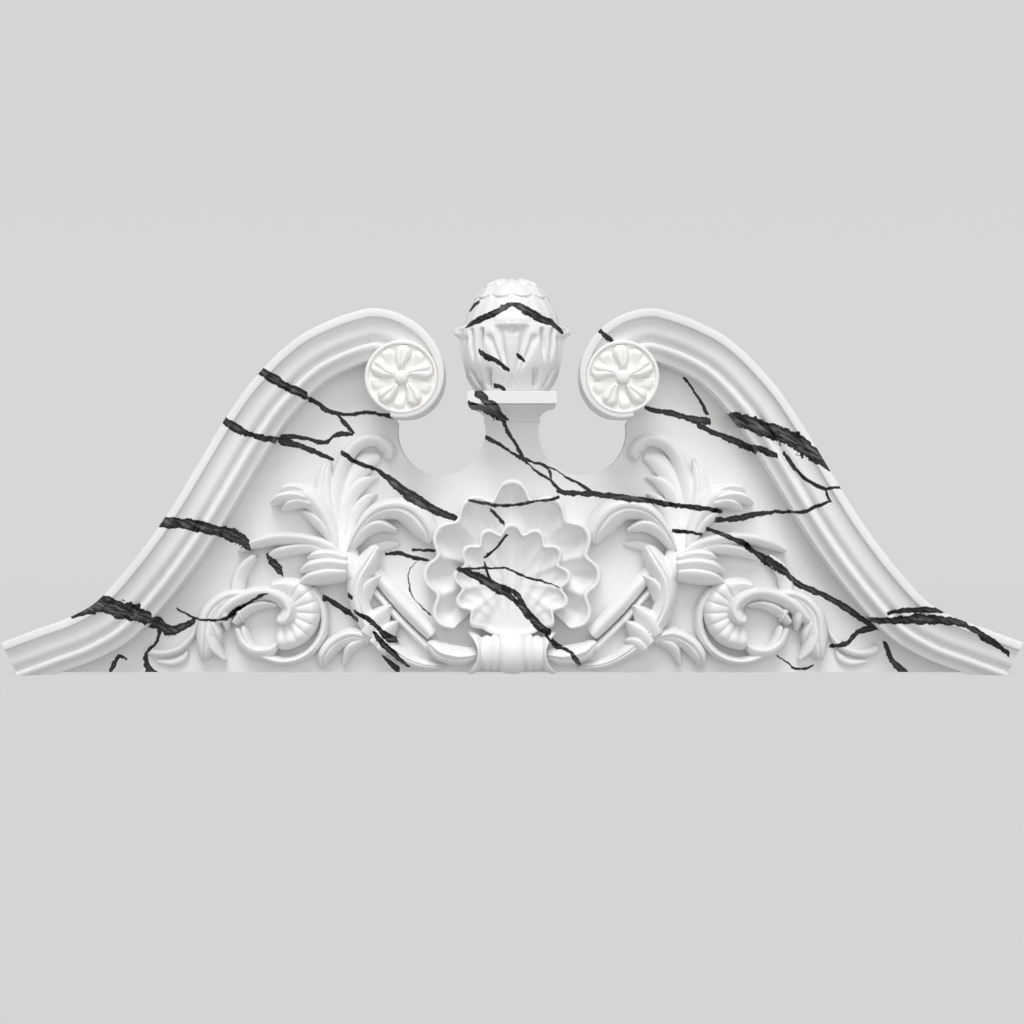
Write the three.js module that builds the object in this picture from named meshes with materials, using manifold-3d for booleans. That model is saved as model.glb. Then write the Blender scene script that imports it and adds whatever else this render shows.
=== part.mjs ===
// A swan-neck overdoor pediment in veined white marble: a carved tympanum slab with its central plinth,
// two gooseneck cornices that wind into volutes, a rosette in the eye of each volute, and an acanthus bud.
// Millimetres, +Z up, +X along the base, front towards -Y, origin under the middle of the whole work.
import * as THREE from "three";
import { mergeVertices } from "three/addons/utils/BufferGeometryUtils.js";
import Module from "manifold-3d";

const wasm = await Module();
wasm.setup();

// Driving dimensions
const HALF_SPAN = 750; // middle to the outer end of a cornice
const SLAB = 50; // thickness of the tympanum slab
const CORNICE_OUT = 88; // cornice fillet in front of the slab's face
const CORNICE_WIDE = 70; // width of the cornice, square to its run
const GAP = 0.3; // joint between two pieces
const QUIRK = 2; // the slab stays this far inside the cornice's outer edge
const TOE = 16; // the slab's base ends this far inside the span
const EYE = { x: 162.6, z: 440.5, radius: 54 }; // centre of a volute and its rosette
const CUT = { x: 107, z: 364.5, radius: 67 }; // round cut-out beside the plinth
const CAP = { half: 65.5, top: 419.5, bed: 401, foot: 381, out: 90 }; // plinth cap and the cavetto under it
const CAVETTO = { root: 4, step: 6, lip: 4 }; // its root in the neck, first step out and fillet on top
const BUD = { out: 20, waist: 77, tip: 12, tall: 170.7, leaves: 4, flute: 2 }; // the finial's main sizes
const FRONT = BUD.out + BUD.waist + BUD.tip; // foremost point of the work, in front of the slab's face
const FACE_Y = (FRONT - SLAB) / 2; // the slab's face, with the work's depth centred on Y

// The upper edge of a cornice from its outer end up to where the volute begins
const GOOSENECK = [
  [HALF_SPAN, 50.4],
  [697, 70],
  [640, 92],
  [594, 126],
  [513, 229],
  [417, 386],
  [369, 449],
  [321, 494.5],
  [273, 521],
];
// Volute: radius about the eye against the turn, closing from the crest down to the rosette
const VOLUTE = { from: 57, to: 286, reach: 115.7, close: 60, decay: 51.75, power: 1.28 };
const EYE_CORE = 12; // the volute's section stops this far from the middle of its eye, inside the bore
const SQUEEZE = 0.1; // points of the section that meet there stay this far apart
const VOLUTE_FOOT = 45; // the slab backs the volute to this far outwards of the cut-out's middle

// Cornice section from the outer edge inwards: distance across and projection
const CORNICE_SECTION = [
  [0, GAP],
  [0, CORNICE_OUT],
  [12.5, CORNICE_OUT],
  [13.5, 80],
  [20, 76],
  [31, 73.5],
  [38, 69.5],
  [41, 62],
  [44.5, 61],
  [51, 67],
  [57.5, 59.5],
  [63.5, 54],
  [CORNICE_WIDE, 53],
  [CORNICE_WIDE, GAP],
];

// Scallop shell behind the clasp: an outer fluted ring and an inner fan
const RING = {
  z: 147.5,
  radius: 126,
  inner: 66,
  floor: 101,
  rise: 46,
  bowl: 14,
  wave: 7.5,
  lobes: 12,
  sweep: 132,
};
const FAN = {
  z: 137,
  hinge: 71,
  radius: 88,
  inner: 5,
  floor: 0.6,
  rise: 55,
  bowl: 22,
  wave: 4,
  flutes: 9,
  sweep: 98,
};
const RIM = { wide: 7, edge: 1, fall: 4 }; // raised rim of both: its width, rounded edge and the edge's fall
const SCOOP = 4; // depth of the flutes

// Turned clasp under the shell: distance from the middle and radius
const CLASP_AXIS = { z: 32, out: 33, sides: 8 };
const CLASP_PROFILE = [
  [0, 32],
  [12, 31],
  [20, 26],
  [24, 28],
  [40, 28],
  [48, 26],
  [58, 30],
  [66, 32],
  [67, 24],
];

// Scrolling foliage on one side of the shell. Each leaf fans out of its root in lobes, and a lobe is
// given by its tip, how far its spine bows to the left, its half width and how far it stands forward.
const LEAVES = {
  plume: {
    root: [255, 186],
    lobes: [
      { tip: [280, 320], bow: -18, half: 11, rise: 22 },
      { tip: [251, 336], bow: -9, half: 12, rise: 28, curl: { radius: 27, turn: 200 } },
      { tip: [202, 328], bow: -20, half: 14, rise: 17 },
      { tip: [205, 294], bow: -19, half: 9, rise: 26 },
      { tip: [206, 266], bow: -14, half: 9, rise: 30 },
    ],
  },
  drooping: {
    root: [240, 178],
    lobes: [
      { tip: [121, 212], bow: -51, half: 15, rise: 46 },
      { tip: [143, 205], bow: -42, half: 12, rise: 40 },
      { tip: [175, 212], bow: -24, half: 10, rise: 40 },
      { tip: [169, 195], bow: -8, half: 8, rise: 15 },
    ],
  },
  fist: {
    root: [266, 184],
    lobes: [
      { tip: [357, 252], bow: 38, half: 17, rise: 42, swell: 0.75 },
      { tip: [336, 246], bow: 26, half: 13, rise: 38, swell: 0.75 },
      { tip: [314, 240], bow: 8, half: 9, rise: 28 },
    ],
  },
  outward: {
    root: [252, 172],
    lobes: [
      { tip: [409, 185], bow: 19, half: 10, rise: 44 },
      { tip: [365, 172], bow: 14, half: 10, rise: 38 },
      { tip: [317, 149], bow: 14, half: 10, rise: 50 },
      { tip: [316, 132], bow: 22, half: 10, rise: 44 },
    ],
  },
  sheath: {
    root: [242, 108],
    lobes: [
      { tip: [203, 186], bow: -15, half: 16, rise: 50 },
      { tip: [197, 143], bow: -14, half: 12, rise: 44 },
      { tip: [250, 160], bow: 4, half: 13, rise: 40 },
      { tip: [158, 11], bow: 14, half: 14, rise: 34 },
      { tip: [121, 12], bow: 26, half: 10, rise: 28 },
    ],
  },
  thorn: {
    root: [204, 46],
    lobes: [
      { tip: [187, 98], bow: -4, half: 13, rise: 40 },
      { tip: [176, 74], bow: -3, half: 12, rise: 37 },
    ],
  },
  stem: {
    root: [197, 134],
    lobes: [
      { tip: [121, 46], bow: 0, half: 8, rise: 30 },
      { tip: [125, 32], bow: 5, half: 7, rise: 19 },
    ],
  },
  husk: {
    root: [54, 27],
    lobes: [
      { tip: [126, 44], bow: -9, half: 15, rise: 56 },
      { tip: [116, 24], bow: -5, half: 11, rise: 48 },
    ],
  },
  hook: {
    root: [388, 98],
    lobes: [{ tip: [345, 107], bow: -5, half: 9, rise: 46, curl: { radius: 14, turn: 200 } }],
  },
  crest: {
    root: [341, 113],
    lobes: [
      { tip: [428, 68], bow: 24, half: 13, rise: 40 },
      { tip: [412, 78], bow: 18, half: 10, rise: 38 },
      { tip: [401, 84], bow: 10, half: 8, rise: 34 },
    ],
  },
  cradle: {
    root: [416, 66],
    lobes: [{ tip: [349, 46], bow: 20, half: 11, rise: 32 }],
  },
  fall: {
    root: [376, 174],
    lobes: [
      { tip: [414, 116], bow: 12, half: 10, rise: 28 },
      { tip: [458, 27], bow: 58, half: 15, rise: 34, swell: 0.7 },
      { tip: [440, 42], bow: 42, half: 11, rise: 30, swell: 0.7 },
      { tip: [433, 21], bow: 60, half: 10, rise: 26, swell: 0.8 },
    ],
  },
  tail: {
    root: [472, 77],
    lobes: [
      { tip: [550, 36], bow: -24, half: 7, rise: 16, curl: { radius: 6, turn: 120 } },
      { tip: [547, 14], bow: -30, half: 6, rise: 9 },
    ],
  },
  foot: {
    root: [214, 48],
    lobes: [
      { tip: [281, 12], bow: 25, half: 12, rise: 30 },
      { tip: [250, 14], bow: 10, half: 9, rise: 27 },
      { tip: [262, 60], bow: 8, half: 9, rise: 26 },
    ],
  },
};
// Ring scroll, and the beaded pod inside it
const SCROLL = { x: 343, z: 80, radius: 62, half: 8, rise: 30, from: 135, to: 352, swell: 0.9 };
const POD = { x: 346, z: 93, radius: 42, from: 72, to: 268, beads: 9, half: 9, long: 32, rise: 38 };

// Rosette: projection of ground, rim, petals and button
const ROSETTE = {
  out: 82,
  rim: 91,
  rimWide: 7,
  petalOut: 94,
  button: 9.5,
  buttonOut: 98,
  round: 3,
  sides: 24,
};
const PETALS = { count: 5, turn: 19, half: 21, sepal: 15 }; // turn of the first, half widths in degrees
// A petal outwards: reach as a share of the ground, width as a share of the turn, fall of the crown
const PETAL_STATIONS = [
  [0.2, 0.9, 5],
  [0.72, 0.95, 0],
  [0.97, 0.6, 4],
];

// Acanthus bud upwards: share of the height, radius, share of the tips' reach and of the flutes' depth
const BUD_PROFILE = [
  [0, 53.5, 0, 0],
  [0.1, 63.5, 0, 0.6],
  [0.2, 71, 0, 1],
  [0.33, 75.5, 0, 1],
  [0.45, BUD.waist, 0.2, 1],
  [0.53, BUD.waist, 1, 0],
  [0.57, 74, 0.6, 0],
  [0.59, 71.5, 0, 0],
  [0.7, 66.5, 0, 0.4],
  [0.79, 58.5, 0, 0.4],
  [0.86, 51, 0, 1.2],
  [0.92, 43, 0, 1.2],
  [0.97, 28, 0, 0.6],
  [1, 10, 0, 0],
];
const BUD_SIDES = 32; // points round the bud, eight to a leaf

const SINK = 3; // how deep carving is rooted in what carries it
const FINE = 0.5; // edges shorter than this are run together where pieces of a solid meet
const CARVED_FINE = 0.8; // the same for the carved slab
const CLEAR = 20; // cutting tools reach this far past what they cut
const BROAD = 14; // lobes with a half width from here up get shoulders
const SHOULDERED = [
  [-1, 0],
  [-0.85, 0.6],
  [0, 1],
  [0.85, 0.6],
  [1, 0],
]; // lobe section: across as a share of the half width, and up as a share of the crown
const ROOF = [
  [-1, 0],
  [0, 1],
  [1, 0],
]; // section of a slender lobe
const LOBE = { root: 0.6, tip: 0.25, ends: 0.8, fall: 0.35, swell: 0.5 }; // shares that shape a lobe
const STAGGER = 0.07; // each lobe leaves its leaf's root this share of its run later than the one before
const LONG = 100; // lobes that reach further than this are made in four spans, shorter ones in three
const CURL_STEP = 50; // degrees to a step of a curl
const NECK_STEPS = 18; // points along the gooseneck
const VOLUTE_STEPS = 15; // points round the volute
const DRUM_STEPS = 32; // points round a volute's bore
const CUT_STEPS = 18; // points round the cut-out
const CAVETTO_STEPS = 5; // points up the cavetto
const SCROLL_STEPS = 12; // points round the scroll
const RING_STEPS = 36; // points round the shell's ring
const FLUTE_STEPS = 2; // points to a flute of the fan

const degrees = THREE.MathUtils.degToRad;
const place = ([x, z, out]) => [x, FACE_Y - out, z];

// A solid from vertices and triangles, turned to face outwards
function solidFrom(vertices, triangles) {
  const build = (triVerts) =>
    new wasm.Manifold(new wasm.Mesh({ numProp: 3, vertProperties: vertices, triVerts }));
  const made = build(Uint32Array.from(triangles));
  if (made.volume() > 0) return made;
  return build(Uint32Array.from(triangles).reverse());
}

// A solid from a closed three.js geometry
function solidOf(geometry) {
  const bare = geometry.clone();
  bare.deleteAttribute("normal");
  bare.deleteAttribute("uv");
  const merged = mergeVertices(bare, 1e-3);
  return solidFrom(merged.attributes.position.array, merged.index.array);
}

// A closed solid through rings of [x, z, out], with both ends capped after the outline in capShape
function loft(rings, capShape) {
  const size = rings[0].length;
  const triangles = [];
  for (let i = 0; i + 1 < rings.length; i++) {
    for (let j = 0; j < size; j++) {
      const near = i * size + j;
      const next = i * size + ((j + 1) % size);
      triangles.push(near, next, next + size, near, next + size, near + size);
    }
  }
  const contour = capShape.map(([u, v]) => new THREE.Vector2(u, v));
  const last = (rings.length - 1) * size;
  const clockwise = THREE.ShapeUtils.isClockWise(contour);
  for (const corners of THREE.ShapeUtils.triangulateShape(contour, [])) {
    const [a, b, c] = clockwise ? corners.toReversed() : corners;
    triangles.push(c, b, a, last + a, last + b, last + c);
  }
  return solidFrom(Float32Array.from(rings.flat().flatMap(place)), triangles);
}

const join = (solids) => solids.reduce((whole, next) => whole.add(next));

// The outer body of a joined solid, with short edges run together and sealed pockets filled
function outerBody(solid, fine) {
  const shells = solid.simplify(fine).decompose();
  return shells.reduce((outer, next) => (next.volume() > outer.volume() ? next : outer));
}

// Points of a curve given by [x, z] stations
function smoothCurve(stations) {
  return new THREE.SplineCurve(stations.map(([x, z]) => new THREE.Vector2(x, z)));
}

// The upper edge of a cornice as points from the outer end to the end of the volute
function cornicePath() {
  const radiusAt = (turn) => {
    const wound = Math.pow((turn - VOLUTE.from) / VOLUTE.decay, VOLUTE.power);
    return VOLUTE.close + (VOLUTE.reach - VOLUTE.close) * Math.exp(-wound);
  };
  const volute = [];
  for (let i = 0; i <= VOLUTE_STEPS; i++) {
    const turn = VOLUTE.from + ((VOLUTE.to - VOLUTE.from) * i) / VOLUTE_STEPS;
    const angle = degrees(turn);
    const radius = radiusAt(turn);
    volute.push(new THREE.Vector2(EYE.x + radius * Math.cos(angle), EYE.z + radius * Math.sin(angle)));
  }
  const neck = smoothCurve([...GOOSENECK, volute[0].toArray(), volute[1].toArray()]);
  const share = 1 - 1 / (GOOSENECK.length + 1);
  const rise = [];
  for (let i = 0; i < NECK_STEPS; i++) rise.push(neck.getPoint((share * i) / NECK_STEPS));
  return [...rise, ...volute];
}

// Unit vectors square to a path, to the left of its run
function leftNormals(path) {
  return path.map((_, i) => {
    const run = path[Math.min(i + 1, path.length - 1)].clone().sub(path[Math.max(i - 1, 0)]);
    return new THREE.Vector2(-run.y, run.x).normalize();
  });
}

// One gooseneck cornice, cut flat at the base and bored for its rosette
function cornice(side) {
  const path = cornicePath();
  const normals = leftNormals(path);
  const eye = new THREE.Vector2(EYE.x, EYE.z);
  const rings = path.map((point, i) => {
    const inEye = i >= NECK_STEPS;
    const room = inEye ? point.distanceTo(eye) - EYE_CORE : CORNICE_WIDE;
    return CORNICE_SECTION.map(([across, out], j) => {
      const inward = Math.min(across, room + SQUEEZE * j);
      const at = point.clone().addScaledVector(normals[i], inward);
      return [side * at.x, at.y, out];
    });
  });
  const swept = loft(rings, CORNICE_SECTION);
  const bore = drum(EYE.radius + GAP, -CLEAR, CORNICE_OUT + CLEAR, side);
  return swept.subtract(bore).subtract(belowBase());
}

// The space under the flat base, to be cut away
function belowBase() {
  const space = new THREE.BoxGeometry(4 * HALF_SPAN, 4 * HALF_SPAN, HALF_SPAN);
  space.translate(0, 0, -HALF_SPAN / 2);
  return solidOf(space);
}

// A plain round drum about the eye of a volute, between two projections
function drum(radius, from, to, side) {
  const geometry = new THREE.CylinderGeometry(radius, radius, to - from, DRUM_STEPS);
  geometry.translate(side * EYE.x, FACE_Y - (from + to) / 2, EYE.z);
  return solidOf(geometry);
}

// Outline of the slab on one side, from the base up the cornice, round the volute and the cut-out
function slabOutline() {
  const path = cornicePath();
  const normals = leftNormals(path);
  const edge = path.map((point, i) => point.clone().addScaledVector(normals[i], QUIRK));
  const cut = new THREE.Vector2(CUT.x, CUT.z);
  const kept = edge.filter((point, i) => {
    return i < NECK_STEPS || point.distanceTo(cut) > CUT.radius || point.x < CUT.x + VOLUTE_FOOT;
  });
  const end = kept[kept.length - 1];
  const start = Math.atan2(end.y - CUT.z, end.x - CUT.x);
  const neckTurn = Math.PI - Math.asin((CAP.foot - CUT.z) / CUT.radius);
  const outline = [new THREE.Vector2(HALF_SPAN - TOE, 0), ...kept];
  for (let i = 1; i <= CUT_STEPS; i++) {
    const turn = start + ((neckTurn - 2 * Math.PI - start) * i) / CUT_STEPS;
    outline.push(new THREE.Vector2(CUT.x + CUT.radius * Math.cos(turn), CUT.z + CUT.radius * Math.sin(turn)));
  }
  return outline;
}

// The tympanum board, both sides of the outline in one sheet
function slab() {
  const right = slabOutline();
  const left = right.map((point) => new THREE.Vector2(-point.x, point.y)).reverse();
  const sheet = new THREE.ExtrudeGeometry(new THREE.Shape([...right, ...left]), {
    depth: SLAB,
    bevelEnabled: false,
  });
  sheet.rotateX(Math.PI / 2);
  sheet.translate(0, FACE_Y + SLAB, 0);
  return solidOf(sheet);
}

// Plinth: a cavetto that spreads from the neck to a square cap
function plinth() {
  const rectangle = (half, out, z) => [
    [-half, z, -SLAB],
    [half, z, -SLAB],
    [half, z, out],
    [-half, z, out],
  ];
  const neckHalf = CUT.x - Math.sqrt(CUT.radius ** 2 - (CAP.foot - CUT.z) ** 2);
  const { lerp } = THREE.MathUtils;
  const rings = [rectangle(neckHalf, 0, CAP.foot - CAVETTO.root)];
  for (let i = 0; i <= CAVETTO_STEPS; i++) {
    const turn = (Math.PI / 2) * (i / CAVETTO_STEPS);
    const spread = 1 - Math.cos(turn);
    const half = lerp(neckHalf, CAP.half - CAVETTO.lip, spread);
    const out = lerp(CAVETTO.step, CAP.out - 2 * CAVETTO.lip, spread);
    rings.push(rectangle(half, out, lerp(CAP.foot, CAP.bed, Math.sin(turn))));
  }
  rings.push(rectangle(CAP.half, CAP.out, CAP.bed + FINE));
  rings.push(rectangle(CAP.half, CAP.out, CAP.top));
  const plan = rings[0].map(([x, , out]) => [x, out]);
  return loft(rings, plan);
}

// Spine of a lobe: a bowed run from root to tip, then an optional curl to the left
function lobeSpine(root, { tip, bow, curl }, spans, from) {
  const start = new THREE.Vector2(...root);
  const chord = new THREE.Vector2(...tip).sub(start);
  const left = new THREE.Vector2(-chord.y, chord.x).normalize();
  const spine = [];
  for (let i = 0; i <= spans; i++) {
    const t = from + ((1 - from) * i) / spans;
    const at = start.clone().addScaledVector(chord, t);
    spine.push(at.addScaledVector(left, bow * 4 * t * (1 - t)));
  }
  if (curl) {
    let heading = chord.clone().addScaledVector(left, -4 * bow).angle();
    const steps = Math.ceil(curl.turn / CURL_STEP);
    const turn = degrees(curl.turn) / steps;
    for (let i = 0; i < steps; i++) {
      const stride = 2 * curl.radius * Math.sin(turn / 2);
      const at = spine[spine.length - 1].clone();
      at.x += stride * Math.cos(heading + turn / 2);
      at.y += stride * Math.sin(heading + turn / 2);
      heading += turn;
      spine.push(at);
    }
  }
  return spine;
}

// A carved ridge along a spine, rooted in the slab and rounded off at its tip: broad ones have shoulders
function ridge(spine, half, rise, swell, side) {
  const normals = leftNormals(spine);
  const last = spine.length - 1;
  const section = half < BROAD ? ROOF : SHOULDERED;
  const rings = spine.map((point, i) => {
    const t = i / last;
    const past = Math.max(0, (t - swell) / (1 - swell));
    const growing = LOBE.root + (1 - LOBE.root) * (t / swell);
    const share = t < swell ? growing : Math.max(LOBE.tip, Math.sqrt(1 - past * past));
    const arched = LOBE.ends + (1 - LOBE.ends) * Math.sin(Math.PI * t);
    const crown = rise * arched * (1 - LOBE.fall * past * past);
    return section.map(([across, up]) => {
      const at = point.clone().addScaledVector(normals[i], across * half * share);
      return [side * at.x, at.y, up > 0 ? crown * up : -SINK];
    });
  });
  return loft(rings, section);
}

// All the foliage on one side
function foliage(side) {
  const carved = [];
  for (const { root, lobes } of Object.values(LEAVES)) {
    lobes.forEach((lobe, i) => {
      const reach = Math.hypot(lobe.tip[0] - root[0], lobe.tip[1] - root[1]);
      const spine = lobeSpine(root, lobe, reach > LONG ? 4 : 3, STAGGER * i);
      carved.push(ridge(spine, lobe.half, lobe.rise, lobe.swell ?? LOBE.swell, side));
    });
  }
  const around = (centre, radius, turn) => {
    return new THREE.Vector2(
      centre.x + radius * Math.cos(degrees(turn)),
      centre.z + radius * Math.sin(degrees(turn)),
    );
  };
  const scroll = [];
  for (let i = 0; i <= SCROLL_STEPS; i++) {
    scroll.push(around(SCROLL, SCROLL.radius, SCROLL.from + ((SCROLL.to - SCROLL.from) * i) / SCROLL_STEPS));
  }
  carved.push(ridge(scroll, SCROLL.half, SCROLL.rise, SCROLL.swell, side));
  for (let i = 0; i < POD.beads; i++) {
    const turn = POD.from + ((POD.to - POD.from) * i) / (POD.beads - 1);
    const bead = [-0.5, 0, 0.5].map((step) => around(POD, POD.radius + step * POD.long, turn));
    carved.push(ridge(bead, POD.half, POD.rise, LOBE.swell, side));
  }
  return carved;
}

// Section of a shell band by radius and projection: a hollow floor that sweeps up to a raised rim
function bandSection(inner, bowl, middle, hollow, rim, rise) {
  return [
    [inner, -SINK],
    [inner, bowl],
    [middle, hollow],
    [rim - RIM.wide, rise],
    [rim - RIM.edge, rise - RIM.fall],
    [rim, -SINK],
  ];
}

// A band of sections, one to each turn in radians, about a point on the shell's middle line
function shellBand(turns, sections, z) {
  const rings = sections.map((section, i) => {
    return section.map(([r, out]) => [r * Math.cos(turns[i]), z + r * Math.sin(turns[i]), out]);
  });
  return loft(rings, sections[0]);
}

// Turns either side of upright, evenly spaced
function turnsAbout(sweep, steps) {
  return Array.from({ length: steps + 1 }, (_, i) => degrees(90 - sweep + (2 * sweep * i) / steps));
}

// Outer ring of the shell: a hollow fluted band with a waved rim
function shellRing() {
  const turns = turnsAbout(RING.sweep, RING_STEPS);
  const sections = turns.map((turn) => {
    const wave = Math.cos(RING.lobes * (turn - Math.PI / 2));
    const rim = RING.radius + RING.wave * wave;
    return bandSection(RING.inner, RING.bowl, RING.floor, RING.bowl + SCOOP * (1 - wave), rim, RING.rise);
  });
  return shellBand(turns, sections, RING.z);
}

// Inner fan of the shell: flutes that spread from the hinge to a round rim
function shellFan() {
  const steps = FLUTE_STEPS * FAN.flutes;
  const turns = turnsAbout(FAN.sweep, steps);
  const drop = FAN.z - FAN.hinge;
  const sections = turns.map((turn, i) => {
    const along = drop * Math.sin(turn);
    const wave = Math.cos(Math.PI * FAN.flutes * ((2 * i) / steps - 1));
    const reach = along + Math.sqrt(along * along + FAN.radius ** 2 - drop * drop) + FAN.wave * wave;
    return bandSection(FAN.inner, FAN.bowl, reach * FAN.floor, FAN.bowl - SCOOP * wave, reach, FAN.rise);
  });
  return shellBand(turns, sections, FAN.hinge);
}

// Turned clasp that gathers the stems under the shell
function clasp() {
  const half = CLASP_PROFILE.map(([x, radius]) => new THREE.Vector2(radius, x));
  const other = half.slice(1).map((point) => new THREE.Vector2(point.x, -point.y));
  const profile = [...other.reverse(), ...half];
  const first = profile[0];
  const last = profile[profile.length - 1];
  const turned = new THREE.LatheGeometry(
    [new THREE.Vector2(0, first.y), ...profile, new THREE.Vector2(0, last.y)],
    CLASP_AXIS.sides,
  );
  turned.rotateZ(-Math.PI / 2);
  turned.translate(0, FACE_Y - CLASP_AXIS.out, CLASP_AXIS.z);
  return solidOf(turned);
}

// The whole tympanum: slab, plinth and carving cut from one block, flat underneath
function tympanum() {
  const carved = [slab(), plinth(), shellRing(), shellFan(), clasp(), ...foliage(1), ...foliage(-1)];
  return join(carved).subtract(belowBase());
}

// A turned solid about the eye of a volute, from radius and projection
function turnedEye(stations, sides, side) {
  const profile = stations.map(([radius, out]) => new THREE.Vector2(radius, -out));
  const geometry = new THREE.LatheGeometry(profile, sides);
  geometry.translate(side * EYE.x, FACE_Y, EYE.z);
  return solidOf(geometry);
}

// One petal of a rosette: a rounded lobe that widens outwards and is rooted in the ground
function petal(turn, spread, side) {
  const { out, petalOut, rimWide, round } = ROSETTE;
  const reach = EYE.radius - rimWide;
  const along = degrees(turn);
  const rings = PETAL_STATIONS.map(([share, wide, fall]) => {
    const radius = share * reach;
    const half = wide * radius * Math.tan(degrees(spread));
    const crown = petalOut - fall;
    return [
      [-1, out - SINK],
      [-0.7, crown - round],
      [0.2, crown],
      [1, out - SINK],
    ].map(([across, projection]) => {
      const x = EYE.x + radius * Math.cos(along) - across * half * Math.sin(along);
      const z = EYE.z + radius * Math.sin(along) + across * half * Math.cos(along);
      return [side * x, z, projection];
    });
  });
  const section = [
    [-1, 0],
    [-0.7, 1],
    [0.2, 2],
    [1, 0],
  ];
  return loft(rings, section);
}

// A rosette: a drum with a raised rim, a flower of petals and a button
function rosette(side) {
  const { out, rim, rimWide, button, buttonOut, round, sides } = ROSETTE;
  const radius = EYE.radius;
  const body = turnedEye(
    [
      [0, GAP],
      [radius, GAP],
      [radius, rim - round],
      [radius - round, rim],
      [radius - rimWide, out],
      [0, out],
    ],
    sides,
    side,
  );
  const knob = turnedEye(
    [
      [0, out - SINK],
      [button, out - SINK],
      [button, buttonOut - round],
      [button / 2, buttonOut],
      [0, buttonOut],
    ],
    sides / 3,
    side,
  );
  const petals = [];
  for (let i = 0; i < PETALS.count; i++) {
    const turn = PETALS.turn + (360 * i) / PETALS.count;
    petals.push(petal(turn, PETALS.half, side), petal(turn + 180 / PETALS.count, PETALS.sepal, side));
  }
  return join([body, knob, ...petals]);
}

// Acanthus bud: a cup of fluted leaves that curl out at the tips, and a ribbed dome; plain behind
function finial() {
  const rings = BUD_PROFILE.map(([height, radius, tips, flutes]) => {
    const ring = [];
    for (let i = 0; i < BUD_SIDES; i++) {
      const turn = (2 * Math.PI * i) / BUD_SIDES;
      const front = THREE.MathUtils.smoothstep(Math.sin(turn), -0.5, 0);
      const tip = BUD.tip * tips * Math.max(0, Math.cos(BUD.leaves * (turn - Math.PI / 2)));
      const flute = BUD.flute * flutes * (i % 2 ? -1 : 0);
      const r = radius + (tip + flute) * front;
      const projection = Math.max(BUD.out + r * Math.sin(turn), -SLAB);
      ring.push([r * Math.cos(turn), CAP.top + GAP + height * BUD.tall, projection]);
    }
    return ring;
  });
  const plan = rings[0].map(([x, , projection]) => [x, projection]);
  return loft(rings, plan);
}

const marble = (color) => new THREE.MeshStandardMaterial({ color, roughness: 0.42, metalness: 0 });

// A named mesh of one finished piece
function piece(name, solid, material, fine = FINE) {
  const { vertProperties, triVerts } = outerBody(solid, fine).getMesh();
  const geometry = new THREE.BufferGeometry();
  geometry.setAttribute("position", new THREE.BufferAttribute(vertProperties, 3));
  geometry.setIndex(new THREE.BufferAttribute(triVerts, 1));
  geometry.computeVertexNormals();
  const mesh = new THREE.Mesh(geometry, material);
  mesh.name = name;
  return mesh;
}

const pediment = new THREE.Group();
const veined = marble(0xe9e7e3);
const plain = marble(0xf0eeea);
pediment.add(piece("tympanum", tympanum(), veined, CARVED_FINE));
for (const [hand, side] of [["left", -1], ["right", 1]]) {
  pediment.add(piece(`cornice_${hand}`, cornice(side), veined));
  pediment.add(piece(`rosette_${hand}`, rosette(side), plain));
}
pediment.add(piece("finial", finial(), veined));

export default pediment;
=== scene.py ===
"""Finished looks of a swan-neck marble pediment, carved over its CAD frame."""

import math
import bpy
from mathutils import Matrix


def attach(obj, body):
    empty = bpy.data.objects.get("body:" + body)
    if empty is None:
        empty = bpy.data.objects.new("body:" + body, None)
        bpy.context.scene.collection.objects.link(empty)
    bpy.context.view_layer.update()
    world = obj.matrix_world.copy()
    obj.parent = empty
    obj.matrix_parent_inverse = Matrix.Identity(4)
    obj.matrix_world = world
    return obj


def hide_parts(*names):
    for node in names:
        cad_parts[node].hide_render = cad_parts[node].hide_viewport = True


bl_info = {
    "name": "Swan-neck pediment",
    "version": (1, 0, 0),
    "blender": (4, 5, 0),
    "location": "View3D > Sidebar > Pediment",
    "description": "Carves a veined marble pediment and sets it on a pale studio floor",
    "category": "Object",
}

import bmesh
import bpy
from bpy.props import FloatProperty, FloatVectorProperty, IntProperty, PointerProperty
from mathutils import Matrix, Vector

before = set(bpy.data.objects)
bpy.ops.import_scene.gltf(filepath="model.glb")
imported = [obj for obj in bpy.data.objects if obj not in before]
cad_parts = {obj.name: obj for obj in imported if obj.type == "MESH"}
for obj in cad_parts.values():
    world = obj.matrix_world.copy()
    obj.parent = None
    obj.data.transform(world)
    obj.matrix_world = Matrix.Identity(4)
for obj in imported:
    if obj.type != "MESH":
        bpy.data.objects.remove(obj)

# Sizes of the work in millimetres, as in the CAD source, but with a cornice 1.5 wider
MM = 0.001
HALF_SPAN = 750
SLAB = 50
CORNICE_OUT = 88
CORNICE_WIDE = 71.5
GAP = 0.3
QUIRK = 2
TOE = 16
SINK = 3
CLEAR = 20
FACE_Y = 29.5
EYE = Vector((162.6, 440.5))
EYE_RADIUS, EYE_CORE, SQUEEZE = 54, 12, 0.02
CUT = Vector((107, 364.5))
CUT_RADIUS, VOLUTE_FOOT = 67, 45
CAP_HALF, CAP_TOP, CAP_BED, CAP_FOOT, CAP_OUT, CAP_ARRIS = 65.5, 419.5, 401, 381, 90, 0.8
CAVETTO_ROOT, CAVETTO_STEP, CAVETTO_LIP, CAVETTO_FILLET = 4, 6, 4, 1
BUD_OUT, BUD_TALL = 20, 170.7

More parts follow.
